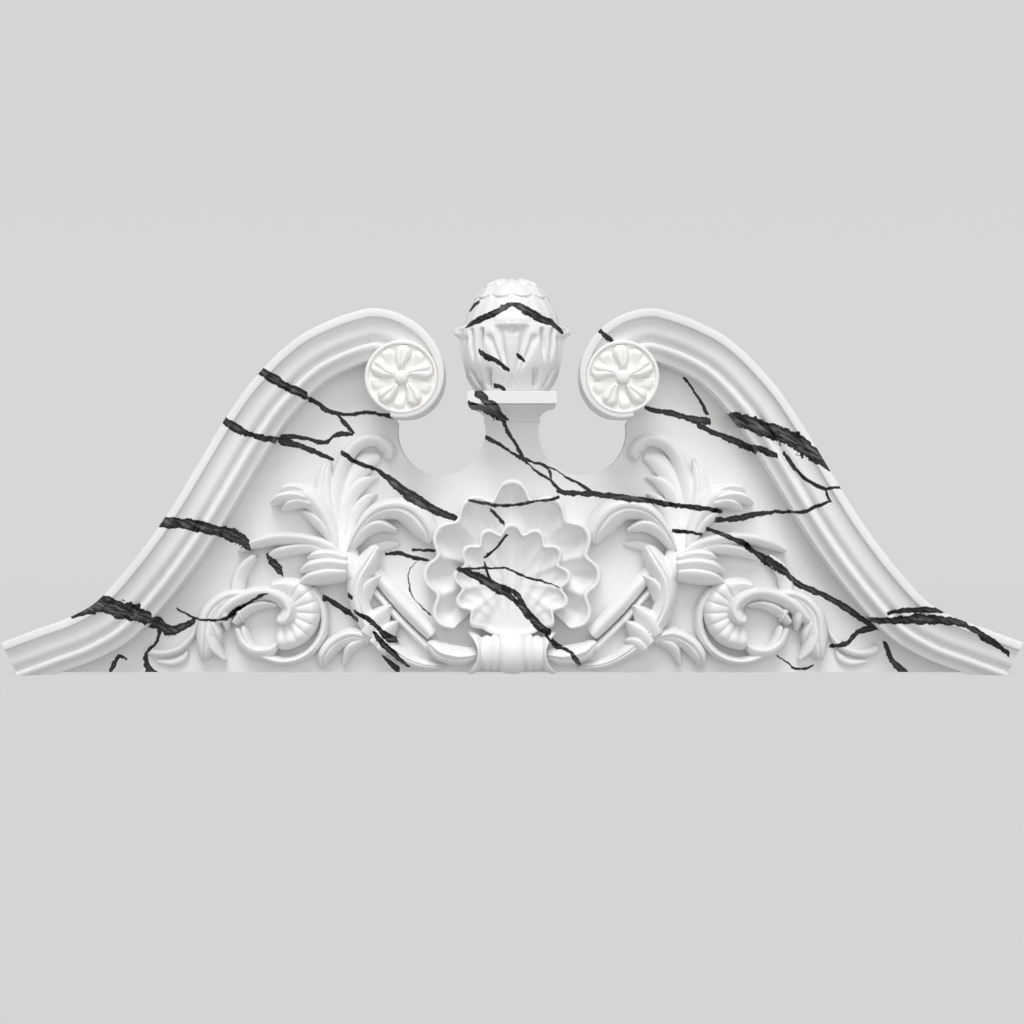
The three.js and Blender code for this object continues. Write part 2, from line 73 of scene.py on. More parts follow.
# Upper edge of a cornice from its outer end to where the volute begins
GOOSENECK = (
    (HALF_SPAN, 50.4), (697, 70), (640, 92), (594, 126), (513, 229),
    (417, 386), (369, 449), (321, 494.5), (273, 521),
)
VOLUTE_FROM, VOLUTE_TO, VOLUTE_LEAD = 57, 286, 15.27
VOLUTE_REACH, VOLUTE_CLOSE, VOLUTE_DECAY, VOLUTE_POWER = 115.7, 60, 51.75, 1.28

# Cornice section from the outer edge inwards, across and out: runs of stations, each run smooth
CORNICE_RUNS = (
    ((0, GAP), (0, 86.5)),
    ((0, 86.5), (0.5, 87.5), (1.5, 88)),
    ((1.5, 88), (11, 88)),
    ((11, 88), (12, 87.5), (12.5, 86.5)),
    ((12.5, 86.5), (13.5, 81)),
    ((13.5, 81), (17, 79.2), (22, 77.4), (28, 76.2), (34, 75.4), (38.5, 73), (41.5, 69), (42.8, 65)),
    ((42.8, 65), (46.5, 64)),
    ((46.5, 64), (48.8, 67.5), (53, 69), (57, 66.5), (59.5, 61)),
    ((59.5, 61), (61.5, 56.5), (65, 53), (70, 51.5)),
    ((70, 51.5), (71, 51), (71.5, 50)),
    ((71.5, 50), (71.5, GAP)),
)

# Scallop shell: an outer ring with a crest at its top, and an inner fan that sinks into the clasp
RING_Z, RING_RADIUS, RING_WAVE, RING_LOBES, RING_SWEEP = 147.5, 126.5, 8, 12, 132
RING_RISE, RING_BOWL, RING_INNER, RING_SCOOP, RING_RIB, RING_RIBS = 46, 11, 66, 8, 1.2, 3
CREST_RISE, CREST_HALF = 10, 10.5
FAN_Z, FAN_RADIUS, FAN_HINGE, FAN_LOBES = 137, 83.5, 56, 13
FAN_RISE, FAN_BOWL, FAN_WAVE, FAN_SCOOP = 54, 32, 6.5, 2.6
FAN_SINKS, FAN_SUNK, FLUTE_FROM, FLUTE_FULL = 0.72, 0.9, 30, 80
RIM_BEAD, RIM_STEP, RIM_BED, LOBE_ROUND = 3.8, 2, 3, 0.15
# Shares of a shell band's section where its bowl, bead and hidden back end, and how the bowl curves
BOWL_END, BEAD_END, BACK_END, BACK_SHUT = 0.6, 0.9, 0.97, 0.98
BOWL_CURVE, HOLLOW_LEAN, HOLLOW_FULL = 2.6, 1.6, 0.8

# Turned clasp: its axis, then distance from the middle and radius
CLASP_Z, CLASP_OUT, CLASP_CUFF, CLASP_PINCH = 32, 33, 45, 0.25
CLASP_PROFILE = (
    (0, 32), (8, 31.6), (14, 30), (18, 27), (20, 23.5), (22, 25.5), (26, 27.5), (30, 26), (32, 23.5),
    (34, 25),
    (38, 26), (42, 24.5), (45, 22.5), (48, 24), (52, 27.5), (56, 30.5), (60, 32), (64, 32), (67, 30.5),
    (69, 27.5),
    (68, 23.5), (62, 20), (53, 18), (46, 17),
)

# Foliage on one side, as blades: stations along the spine with outward place, height, half width and rise
BLADES = {
    "plume_finger": (
        (258, 190, 9, 26), (277, 238, 14, 27), (283, 275, 14, 26), (281, 302, 10, 22), (274, 324, 2, 12),
    ),
    "plume_main": (
        (260, 200, 9, 26), (266, 253, 12, 22), (260, 294, 12, 20), (247, 327, 11, 24), (228, 346, 10, 28),
        (204, 350, 10, 31), (186, 337, 11, 30), (187, 321, 7, 20),
    ),
    "plume_hollow": (
        (255, 200, 7, 24), (253, 258, 10, 17), (240, 293, 13, 14), (221, 316, 15, 13), (198, 326, 6, 9),
    ),
    "plume_upper": (
        (252, 190, 6, 30), (249, 239, 9, 21), (240, 267, 10, 19), (223, 286, 9, 17), (201, 294, 2, 8),
    ),
    "plume_lower": (
        (246, 186, 6, 34), (240, 224, 9, 26), (230, 246, 10, 24), (218, 261, 8, 21), (203, 269, 2, 10),
    ),
    "droop": (
        (246, 180, 6, 42), (230, 213, 9, 45), (205, 240, 14, 47), (173, 248, 18, 48), (148, 238, 22, 47),
        (130, 215, 19, 41), (124, 194, 6, 29),
    ),
    "droop_lobe": ((240, 188, 6, 40), (221, 212, 10, 41), (198, 222, 10, 40), (172, 213, 4, 30)),
    "droop_tongue": ((216, 185, 6, 12), (192, 192, 8, 12), (169, 194, 4, 10)),
    "fist": (
        (262, 186, 9, 42), (277, 227, 13, 41), (296, 256, 17, 43), (314, 268, 18, 44), (334, 268, 15, 40),
        (350, 263, 5, 28),
    ),
    "fist_crown": ((306, 268, 8, 42), (324, 276, 11, 45), (340, 275, 9, 42), (352, 268, 2, 28)),
    "fist_middle": ((306, 260, 9, 44), (327, 265, 11, 47), (347, 262, 10, 44), (363, 254, 3, 28)),
    "fist_thumb": ((262, 184, 5, 38), (282, 216, 8, 37), (300, 234, 8, 36), (316, 243, 3, 25)),
    "fist_knuckle": ((300, 252, 7, 42), (320, 256, 9, 44), (335, 252, 8, 42), (346, 245, 3, 27)),
    "finger": (
        (245, 169, 9, 48), (278, 190, 10, 46), (316, 200, 10, 44), (352, 201, 10, 42), (385, 194, 8, 38),
        (413, 182, 3, 25),
    ),
    "finger_lower": (
        (264, 174, 6, 44), (297, 187, 9, 40), (328, 186, 9, 38), (354, 180, 8, 34), (368, 171, 3, 22),
    ),
    "palm_upper": ((246, 170, 10, 50), (272, 176, 13, 53), (294, 175, 10, 49), (308, 171, 2, 30)),
    "palm": ((244, 160, 13, 53), (274, 163, 15, 56), (300, 159, 12, 52), (319, 152, 2, 30)),
    "palm_lower": ((246, 149, 11, 50), (274, 148, 15, 54), (300, 143, 12, 50), (322, 133, 2, 28)),
    "sheath": (
        (200, 192, 8, 42), (213, 171, 16, 50), (229, 143, 17, 52), (231, 114, 16, 50), (219, 81, 15, 46),
        (195, 50, 13, 42), (163, 25, 10, 35), (135, 13, 8, 28), (98, 9, 4, 20),
    ),
    "sheath_tongue": ((228, 98, 12, 44), (221, 121, 13, 44), (209, 137, 9, 42), (195, 146, 2, 27)),
    "thorn": ((216, 56, 14, 46), (204, 76, 18, 48), (193, 90, 13, 45), (181, 102, 2, 30)),
    "thorn_lower": ((206, 42, 14, 44), (192, 58, 16, 46), (181, 69, 11, 43), (171, 77, 2, 28)),
    "thorn_foot": ((198, 34, 12, 42), (184, 46, 13, 43), (170, 48, 3, 28)),
    "stem": ((216, 162, 9, 24), (162, 102, 13, 31), (118, 56, 11, 31)),
    "stem_lower": ((226, 144, 5, 16), (166, 76, 6, 20), (122, 34, 6, 20)),
    "husk": ((50, 30, 9, 46), (78, 27, 15, 53), (105, 33, 15, 52), (120, 43, 9, 42), (126, 48, 3, 30)),
    "crest": (
        (445, 76, 7, 34), (426, 98, 11, 40), (400, 114, 12, 43), (369, 120, 12, 47), (345, 112, 12, 50),
        (334, 97, 12, 51), (340, 84, 12, 50), (352, 81, 8, 42),
    ),
    "crest_lower": ((417, 74, 6, 32), (400, 93, 8, 36), (376, 103, 7, 38), (352, 102, 3, 34)),
    "crest_tooth": ((430, 92, 9, 38), (429, 78, 8, 36), (427, 64, 3, 26)),
    "crest_notch": ((412, 96, 6, 36), (406, 84, 5, 34), (403, 77, 2, 24)),
    "band": (
        (384, 176, 6, 30), (398, 163, 9, 30), (409, 146, 11, 28), (413, 126, 11, 26), (412, 108, 8, 22),
    ),
    "fall": (
        (394, 118, 7, 36), (428, 113, 12, 38), (452, 90, 16, 38), (457, 60, 18, 35), (461, 34, 13, 29),
        (466, 19, 4, 19),
    ),
    "fall_tip": ((455, 66, 12, 33), (447, 40, 11, 29), (431, 19, 2, 17)),
    "fall_lobe": ((448, 75, 7, 34), (441, 58, 7, 30), (438, 44, 2, 20)),
    "tail": (
        (474, 80, 3, 14), (481, 57, 5, 16), (499, 38, 6, 17), (522, 30, 6, 16), (543, 32, 7, 16),
        (552, 40, 6, 13),
    ),
    "tail_leaf": ((489, 33, 2, 9), (496, 22, 6, 10), (512, 15, 6, 10), (537, 17, 3, 8)),
    "cradle": ((414, 68, 5, 30), (405, 45, 8, 32), (386, 32, 10, 34), (364, 33, 9, 34), (349, 46, 3, 22)),
    "foot": ((212, 50, 9, 38), (240, 56, 12, 36), (265, 45, 13, 34), (281, 26, 12, 31), (286, 8, 4, 19)),
    "foot_lobe": ((222, 48, 7, 32), (243, 37, 9, 30), (253, 11, 3, 17)),
    "boss": ((262, 212, 14, 24), (254, 186, 19, 38), (244, 164, 18, 46), (236, 140, 10, 46)),
    "foot_crest": ((228, 62, 5, 28), (245, 65, 5, 28), (260, 59, 2, 18)),
}
# Fine lines along a blade, for the ones that show them
LINES = {"husk": 2, "plume_finger": 1, "droop": 1, "sheath": 1, "foot": 1, "fall": 1}
# How far a blade's crest lies to the left of its middle, as a share of the half width
LEANS = {
    "plume_main": -0.35, "plume_upper": -0.6, "plume_lower": -0.6, "droop": -0.35, "droop_lobe": -0.45,
    "droop_tongue": -0.4, "plume_finger": 0.3, "fist": 0.2, "fist_thumb": 0.5, "fist_crown": 0.4,
    "fist_middle": 0.4, "fist_knuckle": 0.4, "thorn": -0.4, "thorn_lower": -0.4, "thorn_foot": -0.4,
    "palm_upper": 0.4, "palm": 0.4, "palm_lower": 0.4, "finger": 0.5, "finger_lower": 0.5,
    "sheath_tongue": -0.45, "crest": -0.3, "crest_lower": -0.5, "foot": 0.4, "foot_lobe": 0.4,
    "fall": 0.35, "fall_tip": 0.35, "band": 0.5, "cradle": -0.4,
}
# Every blade: shares of its length that round its ends, height left at the ends, width of a line
BLADE_ROOT, BLADE_TIP, BLADE_ENDS, LINE_WIDE = 0.05, 0.06, 0.75, 0.13
# Ring scroll and the beaded pod inside it: middle, radius, half width and rise, then turns in degrees
SCROLL_X, SCROLL_Z, SCROLL_RADIUS, SCROLL_HALF, SCROLL_RISE = 343, 80, 62, 7, 30
SCROLL_FROM, SCROLL_TO = 130, 352
POD_X, POD_Z, POD_RADIUS, POD_HALF, POD_RISE = 346, 93, 37, 22, 40
POD_FROM, POD_TO, POD_BEADS, POD_LEAN, POD_SEAM = 66, 280, 11, -0.4, 0.16
POD_PLAIN, POD_BEADED, POD_FOOT, POD_FULL = 0.16, 0.3, 0.5, 0.4

# Rosette: projections and radii in millimetres, turns in degrees, lobes as shares of a petal's turn
ROSETTE_OUT, ROSETTE_RIM, ROSETTE_BEAD, ROSETTE_FOOT, BEAD_ROWS = 82, 88, 2.8, 4, 8
BUTTON, BUTTON_FOOT, BUTTON_DOME = 10, 7, 6
PETALS, PETAL_TURN, PETAL_WAVE, PETAL_ROUND, PETAL_POINT = 5, 19, 4, 9, 12
PETAL_TIP, PETAL_RISE, PETAL_FROM, PETAL_FULL = 48, 8, 7, 18
PETAL_EDGE, PETAL_BACK = 3, 0.6
LOBE_TIP, LOBE_RISE, LOBE_ROOT, LOBE_WIDE = 46, 3.5, 0.09, 0.15
SEPAL_TIP, SEPAL_LOW, SEPAL_RISE, SEPAL_FROM, SEPAL_FULL = 47, 1, 6, 20, 42

# Finial: height as a share of the whole, radius, and reach of the leaf tips there
BUD_STATIONS = (
    (0, 53.5, 0), (0.03, 56.5, 0), (0.06, 59.5, 0), (0.1, 63.5, 0), (0.15, 67.5, 0), (0.2, 71, 0),
    (0.25, 73.5, 0), (0.3, 75, 0), (0.35, 76.3, 0), (0.4, 77, 0), (0.46, 77, 0.5), (0.485, 77, 2.5),
    (0.5, 77, 6), (0.515, 77, 10), (0.53, 76.7, 12), (0.55, 75.5, 12.5), (0.57, 74, 11.5), (0.58, 73, 9),
    (0.588, 72, 0), (0.61, 70.8, 0), (0.65, 69.5, 0), (0.7, 66.5, 0), (0.74, 63.5, 0), (0.79, 58.5, 0),
    (0.84, 53, 0), (0.88, 48, 0), (0.9, 46, 0), (0.92, 43, 0), (0.94, 38.5, 0), (0.965, 29.5, 0),
    (0.985, 20, 0), (1, 9, 0),
)
BUD_FOOT, BUD_BED, BUD_BACK, BUD_FADE = 54, 0.03, (-0.6, -0.1), (1, 0.985)
# Its leaves: degrees from a leaf's middle, heights as shares of the whole, depths in millimetres
LEAF_TURN, FRONT_TURN, FRONT_LEAF, FRONT_LIFT = 90, 90, (40, 10), 0.04
LEAF_NARROW, LEAF_BROAD = 8, 38
BUD_FLUTE, BUD_FLUTE_FOOT = 7, (0.14, 0.34)
INNER_FLUTE, INNER_FLUTE_TOP = (0.4, 0.13), (0.575, 0.535)
OUTER_FLUTE, OUTER_FLUTE_TOP = (0.75, 0.12), (0.5, 0.45)
MIDRIB, MIDRIB_HALF, MIDRIB_FOOT = 1.8, 2.2, (0.18, 0.26)
TIP_HOLLOW, TIP_HALF, TIP_HEIGHT = 7, 9, (0.525, 0.03)
SLOT, SLOT_HALF, SLOT_FROM, SLOT_TO, SLOT_TALL = 17, 2.6, 43, 37, 0.52
SLOT_FOOT, SLOT_TOP = (0.24, 0.48), (0.56, 0.52)
EYELET, EYELET_TURN, EYELET_LEAN, EYELET_HALF, EYELET_HEIGHT, EYELET_TALL = 18, 33, 40, 4.2, 0.12, 0.065
CUFF, CUFF_TURN, CUFF_HALF, CUFF_TALL, CUFF_TOP = 1.6, 12, 1.3, 0.17, (0.19, 0.15)
# Its dome: a ring of petals with lips and an upper row between them, in the same measures
DOME_FROM, DOME_PETALS, DOME_RIB, DOME_GROOVE, DOME_GROOVE_TALL = 0.6, 10, 0.5, 1.5, 0.03
LIP_HEIGHT, LIP_DIP, LIP_EDGE, LIP_STEP, LIP_CROWN, LIP_ROUND = 0.82, 0.16, 0.004, 1, 3.6, 0.6
UPPER_HEIGHT, UPPER_DIP, UPPER_EDGE, UPPER_TALL, UPPER_RISE = 0.93, 0.1, 0.006, 0.02, 5.5
DOME_TURNS, DOME_LEFT, DOME_DROP = (0.8, 0.97), 0.3, 4
# Power that gives a hump a blunt top
BLUNT = 4

# The photograph's camera, in millimetres and pixels, then its sensor in millimetres and reach in metres
CAMERA_AWAY, CAMERA_Z, PHOTO_MID, PHOTO_WIDE, FOCAL = 3000, 242, 512.5, 1024, 1984
SENSOR, CAMERA_REACH = 36, 50

# Studio sweep in metres, with the shares of its run where the floor ends and the wall begins
SWEEP_WIDE, SWEEP_FRONT, SWEEP_BACK, SWEEP_CURVE, SWEEP_TALL, SWEEP_STEPS = 12, -6, 4, 1.5, 9, 48
FLOOR_END, WALL_START, PAPER_TONE = 0.25, 0.75, 0.06

# Veins as they are seen in the photograph: projection of the surface, then pixel stations with thickness
LEFT_VEINS = (
    (60, ((258, 369, 8), (275, 380, 9), (292, 389, 9), (308, 397, 7))),
    (60, ((225, 421, 9), (240, 430, 9), (255, 436, 8), (280, 441, 9))),
    (55, ((158, 520, 12), (180, 523, 13), (196, 526, 13), (224, 533, 12))),
    (60, ((76, 616, 6), (90, 608, 14), (101, 605, 20), (118, 609, 22), (134, 613, 19), (152, 622, 14))),
)
RIGHT_VEINS = (
    (45, ((820, 490, 3), (832, 489, 3), (846, 488, 2))),
    (40, ((781, 454, 3), (790, 466, 4), (799, 477, 4), (811, 484, 4), (824, 491, 4))),
    (40, ((821, 488, 3), (824, 495, 3), (828, 503, 3))),
    (60, ((700, 419, 10), (721, 420, 16), (734, 420, 17), (760, 428, 18), (790, 440, 20), (810, 453, 18),
          (832, 469, 10))),
    (60, ((866, 621, 5), (890, 621, 9), (920, 619, 11), (949, 621, 10), (964, 624, 7))),
    (60, ((886, 613, 4), (915, 610, 7), (944, 610, 4))),
    (75, ((958, 623, 5), (975, 632, 7), (990, 642, 7), (1010, 655, 5))),
    (88, ((597, 329, 4), (606, 336, 7), (614, 342, 4))),
    (45, ((781, 513, 4), (799, 513, 4), (815, 507, 4), (829, 501, 3))),
    (30, ((735, 441, 7), (757, 450, 7), (775, 458, 5))),
)
SLAB_VEINS = (
    (0, ((300, 395, 7), (318, 404, 5), (336, 413, 5), (352, 415, 4), (369, 413, 4), (385, 416, 4),
         (400, 419, 5))),
    (0, ((336, 413, 3), (345, 424, 4), (354, 435, 3))),
    (0, ((278, 437, 7), (300, 438, 5), (326, 443, 5), (336, 436, 6), (354, 435, 4))),
    (0, ((278, 440, 8), (296, 446, 8), (310, 451, 7), (324, 456, 5), (335, 460, 3))),
    (0, ((218, 530, 14), (232, 535, 15), (243, 540, 13), (253, 548, 8))),
    (0, ((266, 556, 5), (275, 564, 9), (284, 573, 8))),
    (0, ((324, 598, 4), (343, 609, 6), (361, 620, 5))),
    (40, ((354, 612, 4), (372, 622, 6), (385, 635, 7), (398, 643, 5))),
    (35, ((374, 631, 2), (385, 645, 7), (395, 655, 7), (409, 669, 4))),
    (25, ((381, 656, 2), (390, 664, 5), (400, 673, 7))),
    (5, ((341, 452, 5), (358, 463, 6), (376, 471, 5), (392, 482, 8), (411, 497, 12), (430, 508, 9),
         (458, 519, 6))),
    (0, ((148, 621, 15), (160, 624, 15), (170, 631, 12), (180, 629, 9), (198, 620, 6))),
    (0, ((177, 609, 2), (186, 614, 2.5), (197, 620, 3))),
    (5, ((196, 619, 3), (215, 619, 3), (225, 619, 3), (235, 613, 5), (252, 603, 3), (262, 596, 3),
         (272, 591, 2))),
    (0, ((161, 628, 6), (158, 642, 3), (152, 650, 4), (146, 660, 6), (149, 667, 8), (154, 674, 10))),
    (0, ((110, 672, 4), (116, 663, 5), (121, 657, 3), (127, 660, 3))),
    (5, ((385, 554, 4), (396, 553, 5), (405, 555, 5), (416, 559, 5), (430, 562, 4))),
    (5, ((411, 551, 2), (424, 551, 3), (436, 551, 4))),
    (3, ((418, 562, 1.2), (410, 575, 1.2), (411, 590, 1.5), (420, 604, 1), (431, 617, 1.5))),
    (88, ((475, 390, 9), (482, 396, 10), (489, 403, 11))),
    (45, ((487, 402, 11), (493, 408, 12), (499, 415, 11), (505, 420, 9))),
    (0, ((502, 416, 9), (505, 424, 5), (508, 432, 4), (514, 443, 3), (520, 453, 4), (523, 460, 5))),
    (40, ((469, 405, 6), (478, 408, 5), (486, 411, 7), (495, 417, 6))),
    (0, ((484, 437, 5), (494, 442, 5), (507, 450, 3.5), (515, 455, 3), (524, 460, 5))),
    (0, ((522, 458, 4), (530, 466, 2), (538, 473, 2.5), (547, 478, 3), (553, 483, 3), (561, 491, 5),
         (567, 494, 6))),
    (0, ((522, 459, 4), (533, 463, 3), (545, 467, 4), (549, 472, 3), (553, 479, 5))),
    (0, ((545, 467, 2), (556, 471, 1.5), (566, 477, 2), (577, 483, 3), (592, 492, 4))),
    (3, ((557, 492, 5), (575, 493, 7), (600, 495, 7), (625, 498, 7), (649, 502, 6), (685, 507, 6),
         (723, 512, 6))),
    (10, ((714, 520, 7), (740, 519, 7), (760, 516, 6), (783, 513, 4), (799, 513, 4), (815, 507, 4),
          (829, 501, 3))),
    (0, ((644, 408, 5), (670, 413, 6), (695, 420, 8), (712, 422, 9))),
    (30, ((699, 424, 6), (720, 434, 6), (741, 443, 7), (757, 450, 7), (775, 458, 5))),
    (0, ((684, 377, 3), (697, 396, 3), (709, 415, 4))),
    (5, ((672, 531, 3), (685, 532, 5), (702, 535, 3))),
    (10, ((704, 528, 5), (730, 539, 6), (754, 551, 7), (775, 566, 8), (793, 580, 8), (815, 591, 7),
          (838, 603, 8),
          (860, 617, 7), (882, 631, 5))),
    (5, ((830, 647, 4), (840, 645, 5), (850, 643, 5))),
    (5, ((848, 644, 4), (855, 637, 5), (860, 632, 6), (877, 629, 5))),
    (5, ((884, 642, 4), (888, 650, 5), (892, 658, 6), (899, 667, 8), (904, 674, 9))),
    (5, ((778, 656, 2), (790, 664, 2), (799, 670, 3), (814, 665, 2))),
    (42, ((468, 500, 2), (486, 504, 4), (502, 507, 4), (516, 505, 4), (529, 503, 4), (545, 501, 3),
          (562, 498, 4))),
    (30, ((490, 510, 2), (498, 517, 3.5), (505, 525, 3))),
    (35, ((508, 535, 3), (498, 546, 2.5), (491, 553, 3), (484, 560, 2))),
    (35, ((484, 563, 2), (491, 579, 3), (498, 594, 2))),
    (35, ((462, 568, 2), (483, 569, 2.5), (502, 569, 2.5), (517, 573, 2.5), (531, 579, 3), (546, 583, 2),
          (561, 588, 1.5))),
    (35, ((456, 569, 3), (464, 570, 7), (473, 574, 9), (485, 581, 10), (496, 588, 12), (507, 594, 7),
          (517, 602, 7),
          (528, 614, 9), (539, 626, 10), (552, 634, 5))),
    (35, ((500, 585, 2), (510, 590, 5), (519, 596, 7), (524, 605, 5), (530, 614, 3))),
    (50, ((544, 632, 3), (549, 639, 3), (554, 646, 6), (562, 649, 3), (570, 652, 4), (576, 659, 7),
          (582, 666, 5))),
    (45, ((348, 594, 4), (351, 596, 6), (354, 598, 4))),
)
# Places along the slab where one stretch of its veins ends and the next begins
SLAB_BORDERS = (-240, -20, 200)
BUD_VEINS = (
    (80, ((464, 326, 3), (475, 321, 7), (490, 316, 9), (506, 308, 9), (513, 305, 6), (525, 310, 9),
          (537, 317, 9),
          (554, 323, 8), (565, 331, 4))),
    (60, ((470, 310, 3), (475, 305, 4), (480, 301, 3))),
    (95, ((478, 349, 3), (482, 353, 5), (487, 357, 7), (497, 361, 6), (503, 366, 5), (510, 371, 3))),
    (100, ((518, 353, 2), (521, 357, 4), (525, 362, 2))),
    (80, ((494, 386, 4), (500, 387, 5), (506, 389, 3))),
)
# A vein's soft edge, trim, tapered ends and grey core, and how near it comes to be in a stretch of the slab
SOFT, VEIN_TRIM, VEIN_END, CORE_FROM, CORE_TO, NEAR = 0.5, 0.86, 0.02, 3, 8, 25
# Directions of the veins' fibres: waves to the metre along them and across them
STREAK_RUN = (36, 0, -18)
STREAK_RISE = (125, 0, 250)
# Grains of the marble: scale, detail and roughness, with how far the first two shift a vein in millimetres
BROAD_GRAIN, FINE_GRAIN = (22, 2, 0.55), (120, 3, 0.7)
BROAD_SHIFT, FINE_SHIFT = 9, 5
EDGE_GRAIN, CLOUD_GRAIN, FIBRE_GRAIN = (60, 4, 0.7), (5, 4, 0.55), (1, 4, 0.6)
GRAIN_DEPTH, MID_GREY = (1, 0.25, 1), (0.5, 0.5, 0.5)
# Ranges that the grains are stretched from, and for the ragged edge also to
RAGGED_RANGE, STREAK_RANGE, CLOUD_RANGE = (0.3, 0.7, 0.65, 1.35), (0.44, 0.58), (0.4, 0.75)

# Distances in metres at which points are one, and the reach of the block that cuts the base flat
SEAM, WELD, ROOM = 1e-7, 1e-6, 2
# Least height in millimetres that a vein spans, and sides of the drum that bores a cornice
LEAST, DRUM_SEGMENTS = 0.001, 96
# Angles in degrees past which an edge is sharp
SLAB_CREASE, CORNICE_CREASE, ROUND_CREASE = 38, 30, 50


def at(x, z, out):
    """A point in metres from millimetres along, up and in front of the slab's face."""
    return Vector((x, FACE_Y - out, z)) * MM


def mix(a, b, share):
    """Number part of the way from a to b."""
    return a + (b - a) * share


def smooth(low, high, value):
    """Eased step from 0 at low to 1 at high."""
    t = min(1, max(0, (value - low) / (high - low)))
    return t * t * (3 - 2 * t)


def spline(stations, t):
    """Point at share t of a smooth line through stations."""
    last = len(stations) - 1
    place = min(t, 1) * last
    i = min(int(place), last - 1)
    w = place - i
    p1, p2 = Vector(stations[i]), Vector(stations[i + 1])
    p0 = Vector(stations[i - 1]) if i else p1
    p3 = Vector(stations[i + 2]) if i + 2 <= last else p2
    v1, v2 = (p2 - p0) / 2, (p3 - p1) / 2
    return p1 + v1 * w + (3 * (p2 - p1) - 2 * v1 - v2) * w ** 2 + (2 * (p1 - p2) + v1 + v2) * w ** 3


def level(stations, x):
    """Values at x on the straight runs between (x, value, ...) stations."""
    for (x0, *a), (x1, *b) in zip(stations, stations[1:]):
        if x <= x1:
            t = max(0, (x - x0) / (x1 - x0))
            return [mix(p, q, t) for p, q in zip(a, b)]
    return list(stations[-1][1:])


def hump(value, middle, half, power=2):
    """Smooth rise to 1 at a middle that has mostly gone past a half width on both sides."""
    return math.exp(-abs((value - middle) / half) ** power)


def polar(centre, radius, turn):
    """Point at a radius and a turn in degrees about a centre."""
    angle = math.radians(turn)
    return Vector((centre[0] + radius * math.cos(angle), centre[1] + radius * math.sin(angle)))


def lefts(path):
    """Unit vectors to the left of a path."""
    found = []
    for i in range(len(path)):
        run = path[min(i + 1, len(path) - 1)] - path[max(i - 1, 0)]
        found.append(Vector((-run.y, run.x)).normalized())
    return found


def skin(columns, rows, shape):
    """A closed skin: a grid whose vertices go where shape(u, v) puts them, seams merged and ends filled."""
    bm = bmesh.new()
    bmesh.ops.create_grid(bm, x_segments=columns, y_segments=rows, size=0.5)
    for vert in bm.verts:
        vert.co = shape(vert.co.x + 0.5, vert.co.y + 0.5)
    bmesh.ops.remove_doubles(bm, verts=bm.verts, dist=SEAM)
    bmesh.ops.dissolve_degenerate(bm, edges=bm.edges, dist=SEAM)
    open_edges = [edge for edge in bm.edges if edge.is_boundary]
    if open_edges:
        bmesh.ops.holes_fill(bm, edges=open_edges)
    bmesh.ops.recalc_face_normals(bm, faces=bm.faces)
    return bm


def block(low, high):
    """A plain box between two corners in metres."""
    bm = bmesh.new()
    middle = (Vector(low) + Vector(high)) / 2
    bmesh.ops.create_cube(bm, size=1)
    bmesh.ops.scale(bm, vec=Vector(high) - Vector(low), verts=bm.verts)
    bmesh.ops.translate(bm, vec=middle, verts=bm.verts)
    return bm


def below_floor():
    """The space under the flat base, to be cut away."""
    return block((-ROOM, -ROOM, -ROOM), (ROOM, ROOM, 0))


def loose(bm, name):
    """An object from a bmesh, which is freed."""
    mesh = bpy.data.meshes.new(name)
    bm.to_mesh(mesh)
    bm.free()
    made = bpy.data.objects.new(name, mesh)
    bpy.context.scene.collection.objects.link(made)
    return made


def combined(name, base, added=(), cut=()):
    """One closed mesh from a base skin, skins joined to it and skins cut out of it."""
    body = loose(base, name)
    tools = []
    for operation, skins in (("UNION", added), ("DIFFERENCE", cut)):
        for i, bm in enumerate(skins):
            tool = loose(bm, f"{name}_{operation}_{i}")
            tools.append(tool)
            step = body.modifiers.new(operation, "BOOLEAN")
            step.operation = operation
            step.solver = "MANIFOLD"
            step.object = tool
    bpy.context.view_layer.update()
    depsgraph = bpy.context.evaluated_depsgraph_get()
    mesh = bpy.data.meshes.new_from_object(body.evaluated_get(depsgraph))
    for spare in [body, *tools]:
        old = spare.data
        bpy.data.objects.remove(spare)
        bpy.data.meshes.remove(old)
    return mesh


def finish(name, mesh, node, stones, crease, borders=()):
    """A finished piece that stands for its CAD node, with one stone for each stretch between borders."""
    bm = bmesh.new()
    bm.from_mesh(mesh)
    for border in borders:
        whole = [*bm.verts, *bm.edges, *bm.faces]
        bmesh.ops.bisect_plane(bm, geom=whole, dist=SEAM, plane_co=(border * MM, 0, 0), plane_no=(1, 0, 0))
    bmesh.ops.remove_doubles(bm, verts=bm.verts, dist=WELD)
    bmesh.ops.dissolve_degenerate(bm, edges=bm.edges, dist=WELD)
    bmesh.ops.triangulate(bm, faces=bm.faces)
    bmesh.ops.recalc_face_normals(bm, faces=bm.faces)
    for face in bm.faces:
        middle = face.calc_center_median().x
        face.material_index = sum(middle > border * MM for border in borders)
    mesh.materials.clear()
    for stone in stones:
        mesh.materials.append(stone)
    bm.to_mesh(mesh)
    bm.free()
    mesh.name = name
    mesh.shade_smooth()
    mesh.set_sharp_from_angle(angle=math.radians(crease))
    piece = bpy.data.objects.new(name, mesh)
    bpy.context.scene.collection.objects.link(piece)
    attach(piece, "root")
    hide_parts(node)
    return piece


